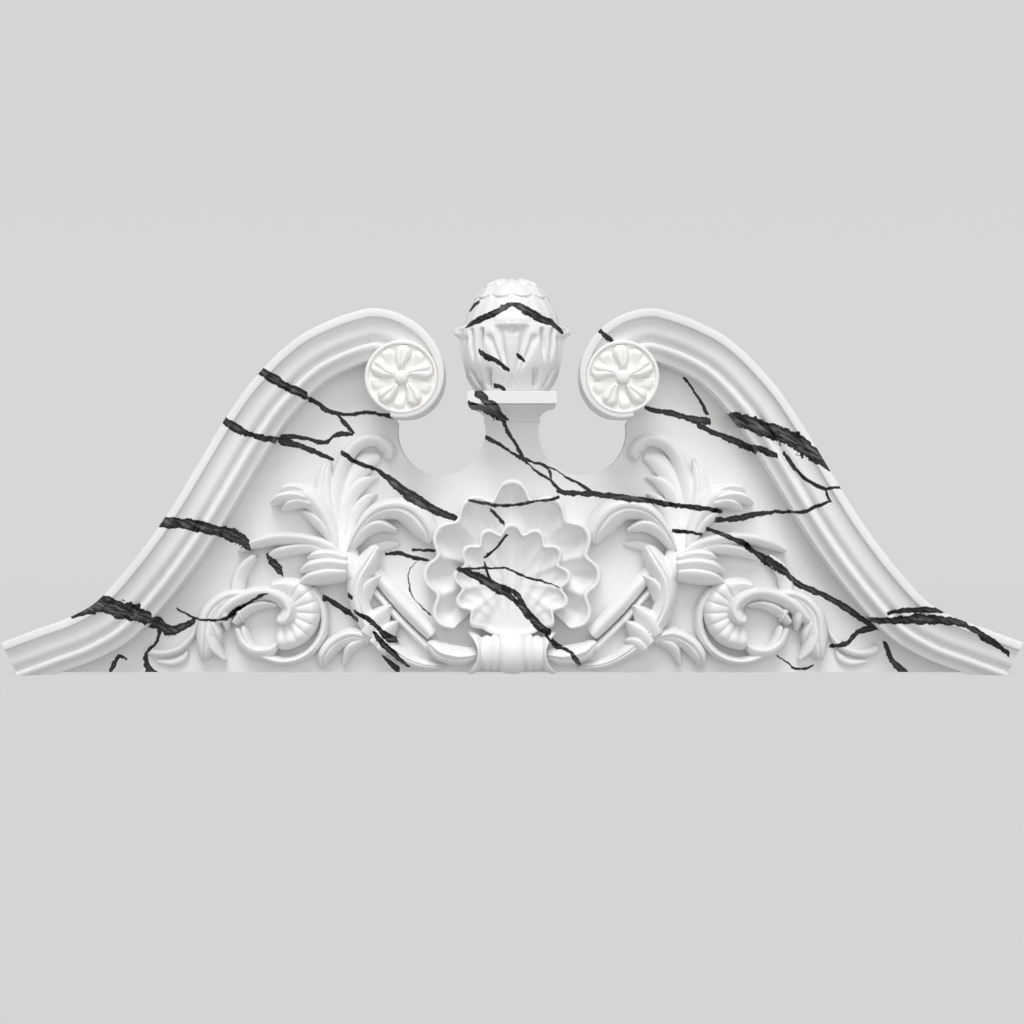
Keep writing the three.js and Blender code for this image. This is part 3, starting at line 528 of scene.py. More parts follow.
def rail(neck_steps, volute_steps):
    """Upper edge of a cornice as points from its outer end to the end of the volute."""
    def wound(turn):
        past = ((turn - VOLUTE_FROM) / VOLUTE_DECAY) ** VOLUTE_POWER
        return polar(EYE, VOLUTE_CLOSE + (VOLUTE_REACH - VOLUTE_CLOSE) * math.exp(-past), turn)

    stations = [*GOOSENECK, wound(VOLUTE_FROM), wound(VOLUTE_FROM + VOLUTE_LEAD)]
    share = 1 - 1 / (len(stations) - 1)
    neck = [spline(stations, share * i / neck_steps) for i in range(neck_steps)]
    turns = [mix(VOLUTE_FROM, VOLUTE_TO, i / volute_steps) for i in range(volute_steps + 1)]
    return neck + [wound(turn) for turn in turns]


def cornice_section(steps):
    """Closed section of the cornice, with its curved runs made smooth."""
    points = [Vector(CORNICE_RUNS[0][0])]
    for run in CORNICE_RUNS:
        count = steps * (len(run) - 1) if len(run) > 2 else 1
        points += [spline(run, (i + 1) / count) for i in range(count)]
    return points


def cornice(side, look):
    """One gooseneck cornice with its volute, before it is bored and cut flat."""
    neck_steps = look.neck_steps
    path = rail(neck_steps, look.volute_steps)
    normals = lefts(path)
    section = cornice_section(look.section_steps)
    section.append(section[0])
    last, sides = len(path) - 1, len(section) - 1

    def shape(u, v):
        i, j = round(u * last), round(v * sides)
        across, out = section[j]
        room = (path[i] - EYE).length - EYE_CORE if i >= neck_steps else CORNICE_WIDE
        spot = path[i] + normals[i] * min(across, room + SQUEEZE * (j % sides))
        return at(side * spot.x, spot.y, out)

    return skin(last, sides, shape)


def drum(radius, low, high, side):
    """A plain drum about the eye of a volute, between two projections."""
    bm = bmesh.new()
    width, depth = radius * MM, (high - low) * MM
    bmesh.ops.create_cone(
        bm, cap_ends=True, segments=DRUM_SEGMENTS, radius1=width, radius2=width, depth=depth
    )
    bmesh.ops.rotate(bm, matrix=Matrix.Rotation(math.pi / 2, 3, "X"), verts=bm.verts)
    bmesh.ops.translate(bm, vec=at(side * EYE.x, EYE.y, (low + high) / 2), verts=bm.verts)
    return bm


def slab_outline(look):
    """Outline of one side of the slab from the base up the cornice, round the volute and the cut-out."""
    neck_steps = look.neck_steps
    path = rail(neck_steps, look.volute_steps)
    edge = [point + normal * QUIRK for point, normal in zip(path, lefts(path))]
    kept = [
        point for i, point in enumerate(edge)
        if i < neck_steps or (point - CUT).length > CUT_RADIUS or point.x < CUT.x + VOLUTE_FOOT
    ]
    reach = kept[-1] - CUT
    start = math.degrees(math.atan2(reach.y, reach.x))
    end = 180 - math.degrees(math.asin((CAP_FOOT - CUT.y) / CUT_RADIUS)) - 360
    arc = [polar(CUT, CUT_RADIUS, mix(start, end, i / look.cut_steps)) for i in range(1, look.cut_steps + 1)]
    return [Vector((HALF_SPAN - TOE, 0)), *kept, *arc]


def slab(look):
    """The tympanum board, both sides of the outline in one sheet."""
    right = slab_outline(look)
    outline = right + [Vector((-point.x, point.y)) for point in reversed(right)]
    bm = bmesh.new()
    bmesh.ops.create_circle(bm, cap_ends=True, segments=len(outline), radius=1)
    bm.verts.ensure_lookup_table()
    for vert, point in zip(bm.verts, outline):
        vert.co = at(point.x, point.y, 0)
    pulled = bmesh.ops.extrude_face_region(bm, geom=bm.faces[:])["geom"]
    moved = [part for part in pulled if isinstance(part, bmesh.types.BMVert)]
    bmesh.ops.translate(bm, vec=Vector((0, SLAB, 0)) * MM, verts=moved)
    bmesh.ops.recalc_face_normals(bm, faces=bm.faces)
    return bm


def plinth(look):
    """Cavetto that spreads from the neck to a square cap."""
    neck = CUT.x - math.sqrt(CUT_RADIUS ** 2 - (CAP_FOOT - CUT.y) ** 2)
    stations = [
        (neck, 0, CAP_FOOT - CAVETTO_ROOT),
        (neck, CAVETTO_ROOT, CAP_FOOT - CAVETTO_FILLET),
        (neck, CAVETTO_STEP, CAP_FOOT),
    ]
    for i in range(1, look.cut_steps + 1):
        turn = math.pi / 2 * i / look.cut_steps
        spread = 1 - math.cos(turn)
        half = mix(neck, CAP_HALF - 3 * CAVETTO_FILLET, spread)
        out = CAVETTO_STEP + (CAP_OUT - 2 * CAVETTO_STEP) * spread
        stations.append((half, out, mix(CAP_FOOT, CAP_BED - 2 * CAVETTO_FILLET, math.sin(turn))))
    lip_half, lip_out = CAP_HALF - CAVETTO_LIP, CAP_OUT - 2 * CAVETTO_LIP
    stations += [
        (lip_half, lip_out, CAP_BED - CAVETTO_FILLET),
        (lip_half, lip_out, CAP_BED),
        (CAP_HALF - CAP_ARRIS / 2, CAP_OUT - CAP_ARRIS / 2, CAP_BED + CAP_ARRIS / 2),
        (CAP_HALF, CAP_OUT, CAP_BED + CAP_ARRIS),
        (CAP_HALF, CAP_OUT, CAP_TOP - CAP_ARRIS),
        (CAP_HALF - CAP_ARRIS, CAP_OUT - CAP_ARRIS, CAP_TOP),
    ]
    last = len(stations) - 1
    corners = ((-1, 0), (1, 0), (1, 1), (-1, 1), (-1, 0))
    sides = len(corners) - 1

    def shape(u, v):
        half, out, z = stations[round(u * last)]
        x, front = corners[round(v * sides)]
        return at(x * half, z, mix(-SLAB, out, front))

    return skin(last, sides, shape)


def ridge(stations, side, look, lines=0, lean=0, beads=0):
    """A carved blade along its stations: crest, lines or beads, undercut edges and round ends."""
    steps = look.spans * (len(stations) - 1)
    spine = [spline(stations, i / steps) for i in range(steps + 1)]
    normals = lefts([spot.xy for spot in spine])
    top = look.top_steps
    sides = top + look.under_steps

    def back(s, t):
        fall = abs(s - lean) / (1 + lean if s < lean else 1 - lean)
        height = max(0, 1 - fall ** look.crown) ** look.shoulder
        if beads:
            seam = 1 - math.sqrt(abs(math.sin(math.pi * beads * t)))
            height -= POD_SEAM * seam * smooth(POD_PLAIN, POD_BEADED, t) * (1 - max(0, s) ** 2)
        return mix(look.edge, 1, height)

    def shape(u, v):
        i, j = round(u * steps), round(v * sides)
        x, z, half, rise = spine[i]
        t = i / steps
        root = max(0, 1 - t / BLADE_ROOT)
        tip = max(0, (t - 1 + BLADE_TIP) / BLADE_TIP)
        ends = math.sqrt(1 - root ** 2) * math.sqrt(max(0, 1 - tip ** 2))
        if top < j < sides:
            s, out = look.undercut * (1 - 2 * (j - top) / (sides - top)), -SINK
        else:
            s = -math.cos(math.pi * j / top) if j <= top else -1
            cut = sum(hump(s, (2 * n + 2) / (lines + 1) - 1, LINE_WIDE) for n in range(lines))
            out = rise * back(s, t) * mix(BLADE_ENDS, 1, ends) - cut * look.groove / MM * ends
        spot = Vector((x, z)) + normals[i] * (s * half * ends)
        return at(side * spot.x, spot.y, out)

    return skin(steps, sides, shape)


def foliage(side, look):
    """All the carved blades on one side, with the ring scroll and its beaded pod."""
    carved = []
    for name, stations in BLADES.items():
        carved.append(ridge(stations, side, look, LINES.get(name, 0), LEANS.get(name, 0)))
    ring, pod = [], []
    for i in range(POD_BEADS + 1):
        share = i / POD_BEADS
        spot = polar((SCROLL_X, SCROLL_Z), SCROLL_RADIUS, mix(SCROLL_FROM, SCROLL_TO, share))
        ring.append((*spot, SCROLL_HALF, SCROLL_RISE))
        spot = polar((POD_X, POD_Z), POD_RADIUS, mix(POD_FROM, POD_TO, share))
        pod.append((*spot, POD_HALF * mix(POD_FOOT, 1, smooth(0, POD_FULL, share)), POD_RISE))
    return [*carved, ridge(ring, side, look), ridge(pod, side, look, 0, POD_LEAN, POD_BEADS)]


def rim_section(v, inner, outer, bowl, rise, hollow):
    """Radius and projection round the closed section of a shell band that ends in a bead."""
    if v < BOWL_END:
        t = v / BOWL_END
        scoop = hollow * math.sin(math.pi * t ** HOLLOW_LEAN) ** HOLLOW_FULL
        lip = rise - RIM_BEAD - RIM_STEP
        return mix(inner, outer - 2 * RIM_BEAD, t), mix(bowl, lip, t ** BOWL_CURVE) - scoop
    if v < BEAD_END:
        angle = math.pi * (1 - (v - BOWL_END) / (BEAD_END - BOWL_END))
        return outer - RIM_BEAD + RIM_BEAD * math.cos(angle), rise - RIM_BEAD + RIM_BEAD * math.sin(angle)
    if v < BACK_END:
        return outer - RIM_BED, -SINK
    return inner, -SINK if v < 1 else bowl


def swell(turn):
    """Waved edge with broad lobes and narrow, rounded notches: one lobe for each 360 degrees."""
    angle = math.radians(turn)
    return math.cos(angle) - LOBE_ROUND * math.cos(2 * angle)


def shell_ring(look):
    """Outer ring of the shell: scooped flutes behind a waved, beaded rim with a crest at the top."""
    def shape(u, v):
        turn = mix(-RING_SWEEP, RING_SWEEP, u)
        flutes = math.radians(RING_LOBES * turn)
        hollow = RING_SCOOP * math.cos(flutes) + RING_RIB * math.cos(RING_RIBS * flutes)
        crest = CREST_RISE * hump(turn, 0, CREST_HALF, BLUNT)
        outer = RING_RADIUS + RING_WAVE * swell(RING_LOBES * turn) + crest
        radius, out = rim_section(v, RING_INNER, outer, RING_BOWL, RING_RISE, hollow)
        return at(*polar((0, RING_Z), radius, 90 + turn), out)

    return skin(look.shell_turns, look.shell_rows, shape)


def shell_fan(look):
    """Inner fan of the shell: a round bowl with a waved, beaded rim and flutes that spread from the hinge."""
    def shape(u, v):
        turn = 360 * u
        low = smooth(FAN_SINKS, FAN_SUNK, -math.sin(math.radians(turn)))
        outer = FAN_RADIUS + FAN_WAVE * swell(FAN_LOBES * (turn - 90)) * (1 - low)
        rise = mix(FAN_RISE, FAN_BOWL + RIM_BEAD, low)
        radius, out = rim_section(min(v, BACK_SHUT), 0, outer, FAN_BOWL, rise, 0)
        spot = polar((0, FAN_Z), radius, turn)
        if v < BOWL_END:
            away = spot - Vector((0, FAN_HINGE))
            phase = FAN_LOBES * (math.atan2(away.y, away.x) - math.pi / 2)
            fade = smooth(FLUTE_FROM, FLUTE_FULL, away.length)
            fade *= smooth(outer - 3 * RIM_BEAD, outer - 6 * RIM_BEAD, radius)
            out -= FAN_SCOOP * (1 - 2 * abs(math.sin(phase)) ** BLUNT) * fade
        return at(*spot, out)

    return skin(look.shell_turns, look.shell_rows, shape)


def clasp(look):
    """Turned clasp that gathers the stems under the shell."""
    half = [Vector(station) for station in CLASP_PROFILE]
    profile = [Vector((-point.x, point.y)) for point in reversed(half[1:])] + half
    ends = [Vector((profile[0].x, 0)), *profile, Vector((profile[-1].x, 0))]
    rows = 2 * (len(ends) - 1)

    def shape(u, v):
        j = round(v * rows)
        spot = ends[j // 2] if j % 2 == 0 else (ends[j // 2] + ends[j // 2 + 1]) / 2
        turned = polar((CLASP_Z, CLASP_OUT), spot.y, 360 * u)
        rise = (turned.x - CLASP_Z) / CLASP_Z
        past = max(0, abs(spot.x) - CLASP_CUFF) * (1 - CLASP_PINCH) * (1 - rise * rise)
        return at(spot.x - math.copysign(past, spot.x), turned.x, turned.y)

    return skin(look.clasp_turns, rows, shape)


def tympanum_mesh(look):
    """Slab, plinth and carving as one block, flat underneath."""
    carved = [plinth(look), shell_ring(look), shell_fan(look), clasp(look)]
    for side in (1, -1):
        carved += foliage(side, look)
    return combined("tympanum_work", slab(look), carved, [below_floor()])


def tongue(across, radius, tip, rise):
    """Height of a rounded tongue at a radius; across is 1 on its middle line and 0 at its edges."""
    if across <= 0:
        return 0
    side = (1 - across) ** PETAL_EDGE
    past = max(0, radius - tip + PETAL_POINT * side + PETAL_ROUND) / PETAL_ROUND
    return rise * (1 - side) ** PETAL_BACK * math.sqrt(max(0, 1 - past * past))


def petal_height(radius, turn):
    """Projection of the rosette's flower: waved petals of two lobes, with sepals between."""
    if radius < BUTTON:
        return ROSETTE_OUT + BUTTON_FOOT + BUTTON_DOME * math.sqrt(1 - (radius / BUTTON) ** 2)
    bend = PETAL_WAVE * math.sin(2 * math.pi * radius / EYE_RADIUS)
    place = abs(((turn + bend - PETAL_TURN) * PETALS / 360 + 0.5) % 1 - 0.5)
    root = smooth(PETAL_FROM, PETAL_FULL, radius)
    half = mix(LOBE_ROOT, LOBE_WIDE, math.sin(math.pi * (radius - BUTTON) / (EYE_RADIUS - BUTTON)))
    body = tongue(1 - place / (2 * half), radius, PETAL_TIP, PETAL_RISE * root)
    lobe = tongue(1 - abs(place / half - 1), radius, LOBE_TIP, LOBE_RISE * root)
    between = mix(SEPAL_LOW, SEPAL_RISE, smooth(SEPAL_FROM, SEPAL_FULL, radius))
    sepal = tongue((place - 2 * half) / (0.5 - 2 * half), radius, SEPAL_TIP, between)
    return ROSETTE_OUT + body + lobe + sepal


def rosette(side, look):
    """A drum with a raised rim, a flower of waved petals and a button."""
    lip = EYE_RADIUS - 2 * ROSETTE_BEAD
    back = ((EYE_RADIUS, GAP + ROSETTE_FOOT), (EYE_RADIUS, GAP), (0, GAP))
    flat = look.rosette_rows
    rows = flat + BEAD_ROWS + len(back)

    def shape(u, v):
        turn, j = 360 * u, round(v * rows)
        if j <= flat:
            radius = lip * j / flat
            out = petal_height(radius, turn)
        elif j <= flat + BEAD_ROWS:
            angle = math.pi * (1 - (j - flat) / BEAD_ROWS)
            radius = EYE_RADIUS - ROSETTE_BEAD + ROSETTE_BEAD * math.cos(angle)
            out = ROSETTE_RIM - ROSETTE_BEAD + ROSETTE_BEAD * math.sin(angle)
        else:
            radius, out = back[j - flat - BEAD_ROWS - 1]
        spot = polar(EYE, radius, turn)
        return at(side * spot.x, spot.y, out)

    return skin(look.rosette_turns, rows, shape)


def dome_relief(turn, height):
    """Carving on the finial's dome: a ring of lipped petals, and the tips of an upper row between them."""
    place = (DOME_PETALS * (turn - FRONT_TURN) / 360) % 1 - 0.5
    lip = LIP_HEIGHT + LIP_DIP * place ** 2
    upper = UPPER_HEIGHT + UPPER_DIP * (abs(place) - 0.5) ** 2
    rib = DOME_RIB * math.cos(math.radians(2 * DOME_PETALS * (turn - FRONT_TURN)))
    groove = DOME_GROOVE * smooth(lip - DOME_GROOVE_TALL, lip - LIP_EDGE, height)
    petal = LIP_STEP + LIP_CROWN * math.cos(math.pi * place) ** LIP_ROUND
    petal *= smooth(lip - LIP_EDGE, lip + 2 * LIP_EDGE, height)
    tips = UPPER_RISE * abs(math.sin(math.pi * place))
    tips *= smooth(upper - UPPER_EDGE, upper + UPPER_TALL, height)
    return rib - groove + petal + tips


def in_front(turn):
    """How far a turn of the finial lies on its foremost leaf, from 0 to 1."""
    return smooth(*FRONT_LEAF, abs(turn - FRONT_TURN))


def leaf_relief(turn, height):
    """Carving on the finial's cup: fluted leaves with slots and eyelets between, and a cuff at the foot."""
    leaf = abs((turn - LEAF_TURN / 2) % LEAF_TURN - LEAF_TURN / 2)
    fan = leaf / mix(LEAF_NARROW, LEAF_BROAD, smooth(0, DOME_FROM, height))
    flute = BUD_FLUTE * smooth(*BUD_FLUTE_FOOT, height)
    inner = flute * hump(fan, *INNER_FLUTE) * smooth(*INNER_FLUTE_TOP, height)
    outer = flute * hump(fan, *OUTER_FLUTE) * smooth(*OUTER_FLUTE_TOP, height)
    rib = MIDRIB * hump(leaf, 0, MIDRIB_HALF) * smooth(*MIDRIB_FOOT, height)
    under = TIP_HOLLOW * hump(leaf, 0, TIP_HALF) * hump(height, *TIP_HEIGHT) * in_front(turn)
    slot = SLOT * hump(leaf, mix(SLOT_FROM, SLOT_TO, height / SLOT_TALL), SLOT_HALF)
    slot *= smooth(*SLOT_FOOT, height) * smooth(*SLOT_TOP, height)
    eyelet = hump(leaf, EYELET_TURN - EYELET_LEAN * (height - EYELET_HEIGHT), EYELET_HALF, BLUNT)
    eyelet *= EYELET * hump(height, EYELET_HEIGHT, EYELET_TALL, BLUNT)
    cuff = CUFF * hump(leaf, CUFF_TURN * (1 - height / CUFF_TALL), CUFF_HALF) * smooth(*CUFF_TOP, height)
    return cuff - inner - outer - rib - under - slot - eyelet


def finial(look):
    """Acanthus bud: a cup of fluted leaves that curl out at the tips, and a dome with a ring of petals."""
    def shape(u, v):
        turn = 360 * u
        foremost = in_front(turn)
        if v <= BUD_BED:
            height, radius, tips = 0, BUD_FOOT * v / BUD_BED, 0
        else:
            height = (v - BUD_BED) / (1 - BUD_BED)
            radius = level(BUD_STATIONS, height)[0] if v < 1 else 0
            tips = level(BUD_STATIONS, height - FRONT_LIFT * foremost)[1]
        carved = smooth(*BUD_BACK, math.sin(math.radians(turn)))
        curl = max(0, math.cos(math.radians(360 / LEAF_TURN * (turn - FRONT_TURN)))) ** mix(1, 2, foremost)
        relief = dome_relief(turn, height) if height > DOME_FROM else leaf_relief(turn, height)
        relief *= carved * smooth(0, BUD_BED, height) * smooth(*BUD_FADE, height)
        upward = smooth(*DOME_TURNS, height)
        radius += tips * curl * carved + relief * mix(1, DOME_LEFT, upward)
        spot = polar((0, BUD_OUT), radius, turn)
        lift = (relief - DOME_DROP * carved) * upward
        return at(spot.x, CAP_TOP + GAP + height * BUD_TALL + lift, max(spot.y, -SLAB))

    return skin(look.bud_turns, look.bud_rows, shape)


def seen(px, py, out):
    """Where a pixel of the photograph lies on the work, along and up, at a projection."""
    scale = (CAMERA_AWAY - out) / FOCAL
    return (px - PHOTO_MID) * scale, CAMERA_Z + (PHOTO_MID - py) * scale, scale


def crosses(vein, low, high):
    """Whether a vein comes near the stretch of the work between two places along it."""
    out, stations = vein
    places = [seen(px, py, out)[0] for px, py, _ in stations]
    return max(places) > low - NEAR and min(places) < high + NEAR


def wire(tree, kind, inputs=(), **settings):
    """A new shader node in a tree with settings, and inputs given as values or as sockets to link."""
    node = tree.nodes.new(kind)
    for name, value in settings.items():
        setattr(node, name, value)
    for key, value in dict(inputs).items():
        if isinstance(value, bpy.types.NodeSocket):
            tree.links.new(value, node.inputs[key])
        else:
            node.inputs[key].default_value = value
    return node


def maths(tree, operation, first, second=0):
    """Output of a Math node."""
    return wire(tree, "ShaderNodeMath", {0: first, 1: second}, operation=operation).outputs[0]


def vectors(tree, operation, first, second):
    """Vector output of a Vector Math node, whose second input is a vector, or a number to scale by."""
    key = "Scale" if operation == "SCALE" else 1
    return wire(tree, "ShaderNodeVectorMath", {0: first, key: second}, operation=operation).outputs[0]


def along(tree, point, direction):
    """How far a point lies along a direction."""
    node = wire(tree, "ShaderNodeVectorMath", {0: point, 1: direction}, operation="DOT_PRODUCT")
    return node.outputs["Value"]


def ranged(tree, value, low, high, to_low=0, to_high=1):
    """Output of a Map Range node, which stays between its ends."""
    ends = {0: value, 1: low, 2: high, 3: to_low, 4: to_high}
    return wire(tree, "ShaderNodeMapRange", ends).outputs[0]


def blend(tree, share, first, second):
    """Colour part of the way from one to another."""
    return wire(tree, "ShaderNodeMix", {0: share, 6: first, 7: second}, data_type="RGBA").outputs[2]


def vein_group():
    """Node group that adds one vein to a mask: how far inside the vein's ragged width a point lies."""
    group = bpy.data.node_groups.new("vein_line", "ShaderNodeTree")
    for name in ("Across", "Centre", "Low", "High", "Half", "Widest", "Ragged", "Before"):
        group.interface.new_socket(name, in_out="INPUT", socket_type="NodeSocketFloat")
    group.interface.new_socket("Mask", in_out="OUTPUT", socket_type="NodeSocketFloat")
    given = group.nodes.new("NodeGroupInput").outputs
    centre = ranged(group, given["Centre"], 0, 1, given["Low"], given["High"])
    away = maths(group, "ABSOLUTE", maths(group, "SUBTRACT", given["Across"], centre))
    half = maths(group, "MULTIPLY", given["Half"], given["Widest"])
    depth = maths(group, "SUBTRACT", maths(group, "MULTIPLY", half, given["Ragged"]), away)
    body = ranged(group, depth, 0, 2 * SOFT)
    core = ranged(group, depth, CORE_FROM, CORE_TO)
    most = maths(group, "MAXIMUM", maths(group, "ADD", body, core), given["Before"])
    wire(group, "NodeGroupOutput", {"Mask": most})
    return group


def set_curve(node, points):
    """Gives a float curve its points, which run from 0 to 1."""
    curve = node.mapping.curves[0]
    curve.points[0].location = points[0]
    curve.points[1].location = points[-1]
    for x, y in points[1:-1]:
        curve.points.new(x, y)
    for point in curve.points:
        point.handle_type = "AUTO_CLAMPED"
    node.mapping.update()


def marble_field():
    """Node group with warped coordinates in millimetres, ragged widths, streaks and clouding."""
    group = bpy.data.node_groups.new("marble_field", "ShaderNodeTree")
    group.interface.new_socket("Point", in_out="INPUT", socket_type="NodeSocketVector")
    for name in ("X", "Z", "Ragged", "Streak", "Cloud"):
        group.interface.new_socket(name, in_out="OUTPUT", socket_type="NodeSocketFloat")
    point = group.nodes.new("NodeGroupInput").outputs["Point"]
    flat = vectors(group, "MULTIPLY", point, GRAIN_DEPTH)

    def grain(place, sizes, dimensions="3D"):
        scale, detail, rough = sizes
        given = {"Vector": place, "Scale": scale, "Detail": detail, "Roughness": rough}
        return wire(group, "ShaderNodeTexNoise", given, noise_dimensions=dimensions).outputs

    def shift(sizes, far):
        return vectors(group, "SCALE", vectors(group, "SUBTRACT", grain(flat, sizes)["Color"], MID_GREY), far)

    moved = vectors(group, "ADD", shift(BROAD_GRAIN, BROAD_SHIFT), shift(FINE_GRAIN, FINE_SHIFT))
    total = vectors(group, "ADD", vectors(group, "SCALE", point, 1 / MM), moved)
    split = wire(group, "ShaderNodeSeparateXYZ", {0: total}).outputs
    fibres = {0: along(group, point, STREAK_RUN), 1: along(group, point, STREAK_RISE)}
    lengthened = wire(group, "ShaderNodeCombineXYZ", fibres).outputs[0]
    wire(group, "NodeGroupOutput", {
        "X": split["X"],
        "Z": split["Z"],
        "Ragged": ranged(group, grain(flat, EDGE_GRAIN)[0], *RAGGED_RANGE),
        "Streak": ranged(group, grain(lengthened, FIBRE_GRAIN, "2D")[0], *STREAK_RANGE),
        "Cloud": ranged(group, grain(flat, CLOUD_GRAIN)[0], *CLOUD_RANGE),
    })
    return group


def traced(vein):
    """A vein's stations in order as (along, across, half width), and whether it runs along X."""
    out, stations = vein
    spots = [(*seen(px, py, out), width) for px, py, width in stations]
    lying = abs(spots[-1][0] - spots[0][0]) >= abs(spots[-1][1] - spots[0][1])
    line = []
    for x, z, scale, width in spots:
        half = VEIN_TRIM * width * scale / 2
        line.append((x, z, half) if lying else (z, x, half))
    return sorted(line), lying


def leaning_widths(line):
    """Half widths of a traced vein, measured along the axis that it is crossed by."""
    widths = []
    for i, (_, _, half) in enumerate(line):
        before, after = line[max(i - 1, 0)], line[min(i + 1, len(line) - 1)]
        slope = (after[1] - before[1]) / (after[0] - before[0])
        widths.append((half + SOFT) * math.sqrt(1 + slope * slope))
    return widths


def vein_mask(tree, field, group, veins):
    """Mask of all the veins of a block, each along its own pair of curves."""
    mask = 0
    for vein in veins:
        line, lying = traced(vein)
        runs, places, _ = zip(*line)
        widths = leaning_widths(line)
        low, high, widest = min(places), max(places) + LEAST, max(widths)
        shares = [(run - runs[0]) / (runs[-1] - runs[0]) for run in runs]
        stops = [VEIN_END, *shares[1:-1], 1 - VEIN_END]
        taper = [(stop, width / widest) for stop, width in zip(stops, widths)]
        run_axis, cross_axis = ("X", "Z") if lying else ("Z", "X")
        t = ranged(tree, field.outputs[run_axis], runs[0], runs[-1])
        centre = wire(tree, "ShaderNodeFloatCurve", {"Value": t})
        set_curve(centre, [(share, (place - low) / (high - low)) for share, place in zip(shares, places)])
        half = wire(tree, "ShaderNodeFloatCurve", {"Value": t})
        set_curve(half, [(0, 0), *taper, (1, 0)])
        given = {
            "Across": field.outputs[cross_axis], "Centre": centre.outputs[0], "Low": low, "High": high,
            "Half": half.outputs[0], "Widest": widest, "Ragged": field.outputs["Ragged"], "Before": mask,
        }
        mask = wire(tree, "ShaderNodeGroup", given, node_tree=group).outputs["Mask"]
    return mask


def marble(name, veins, look):
    """White marble, honed, with the given veins."""
    found = bpy.data.materials.get(name)
    if found:
        return found
    made = bpy.data.materials.new(name)
    made.use_nodes = True
    tree = made.node_tree
    shader = tree.nodes["Principled BSDF"]
    shader.inputs["Roughness"].default_value = look.roughness
    shader.inputs["Specular IOR Level"].default_value = look.gloss
    place = tree.nodes.new("ShaderNodeTexCoord").outputs["Object"]
    stone = bpy.data.node_groups.get("marble_field") or marble_field()
    line = bpy.data.node_groups.get("vein_line") or vein_group()
    field = wire(tree, "ShaderNodeGroup", {"Point": place}, node_tree=stone)
    colour = blend(tree, field.outputs["Cloud"], (*look.white, 1), (*look.cloud, 1))
    if veins:
        mask = vein_mask(tree, field, line, veins)
        grey = maths(tree, "MULTIPLY", ranged(tree, mask, 1, 2), field.outputs["Streak"])
        dark = blend(tree, grey, (*look.vein, 1), (*look.streak, 1))
        colour = blend(tree, mask, colour, dark)
    tree.links.new(colour, shader.inputs["Base Color"])
    return made


def studio_sweep():
    """Floor that curves up into a backdrop, in one sheet."""
    bm = bmesh.new()
    bmesh.ops.create_grid(bm, x_segments=1, y_segments=SWEEP_STEPS, size=0.5)
    for vert in bm.verts:
        v = vert.co.y + 0.5
        if v < FLOOR_END:
            y, z = mix(SWEEP_FRONT, SWEEP_BACK - SWEEP_CURVE, v / FLOOR_END), 0
        elif v < WALL_START:
            turn = math.pi / 2 * (v - FLOOR_END) / (WALL_START - FLOOR_END)
            y, z = SWEEP_BACK - SWEEP_CURVE * (1 - math.sin(turn)), SWEEP_CURVE * (1 - math.cos(turn))
        else:
            y, z = SWEEP_BACK, mix(SWEEP_CURVE, SWEEP_TALL, (v - WALL_START) / (1 - WALL_START))
        vert.co = Vector((vert.co.x * SWEEP_WIDE, y, z))
    sweep = loose(bm, "studio_sweep")
    sweep.data.shade_smooth()
    return sweep


def studio_paper(look):
    """Pale grey paper that looks even to the camera and sends a soft light back to the work."""
    paper = bpy.data.materials.new("studio_grey")
    paper.use_nodes = True
    tree = paper.node_tree
    shader = tree.nodes["Principled BSDF"]
    shader.inputs["Base Color"].default_value = (PAPER_TONE, PAPER_TONE, PAPER_TONE, 1)
    shader.inputs["Roughness"].default_value = 1
    shader.inputs["Specular IOR Level"].default_value = 0
    shader.inputs["Emission Color"].default_value = (look.grey, look.grey, look.grey, 1)
    rays = tree.nodes.new("ShaderNodeLightPath").outputs["Is Camera Ray"]
    glow = ranged(tree, rays, 0, 1, look.bounce / look.grey)
    tree.links.new(glow, shader.inputs["Emission Strength"])
    return paper


def studio_sky(look):
    """White light from all round."""
    world = bpy.data.worlds.new("studio")
    world.use_nodes = True
    sky = world.node_tree.nodes["Background"]
    sky.inputs["Color"].default_value = (1, 1, 1, 1)
    sky.inputs["Strength"].default_value = look.sky
    return world


def lamp(name, power, tilt, swing, spread):
    """A far, soft light in front of the work, tilted up and swung to the right by angles."""
    data = bpy.data.lights.new(name, "SUN")
    data.energy = power
    data.angle = spread
    made = bpy.data.objects.new(name, data)
    made.rotation_euler = (math.pi / 2 - tilt, 0, swing)
    bpy.context.scene.collection.objects.link(made)


def photo_camera():
    """Level camera square to the front, where the photograph was taken from."""
    lens = bpy.data.cameras.new("photo_camera")
    lens.sensor_width = SENSOR
    lens.lens = SENSOR * FOCAL / PHOTO_WIDE
    lens.clip_end = CAMERA_REACH
    camera = bpy.data.objects.new("photo_camera", lens)
    camera.location = at(0, CAMERA_Z, CAMERA_AWAY)
    camera.rotation_euler = (math.pi / 2, 0, 0)
    bpy.context.scene.collection.objects.link(camera)
    return camera


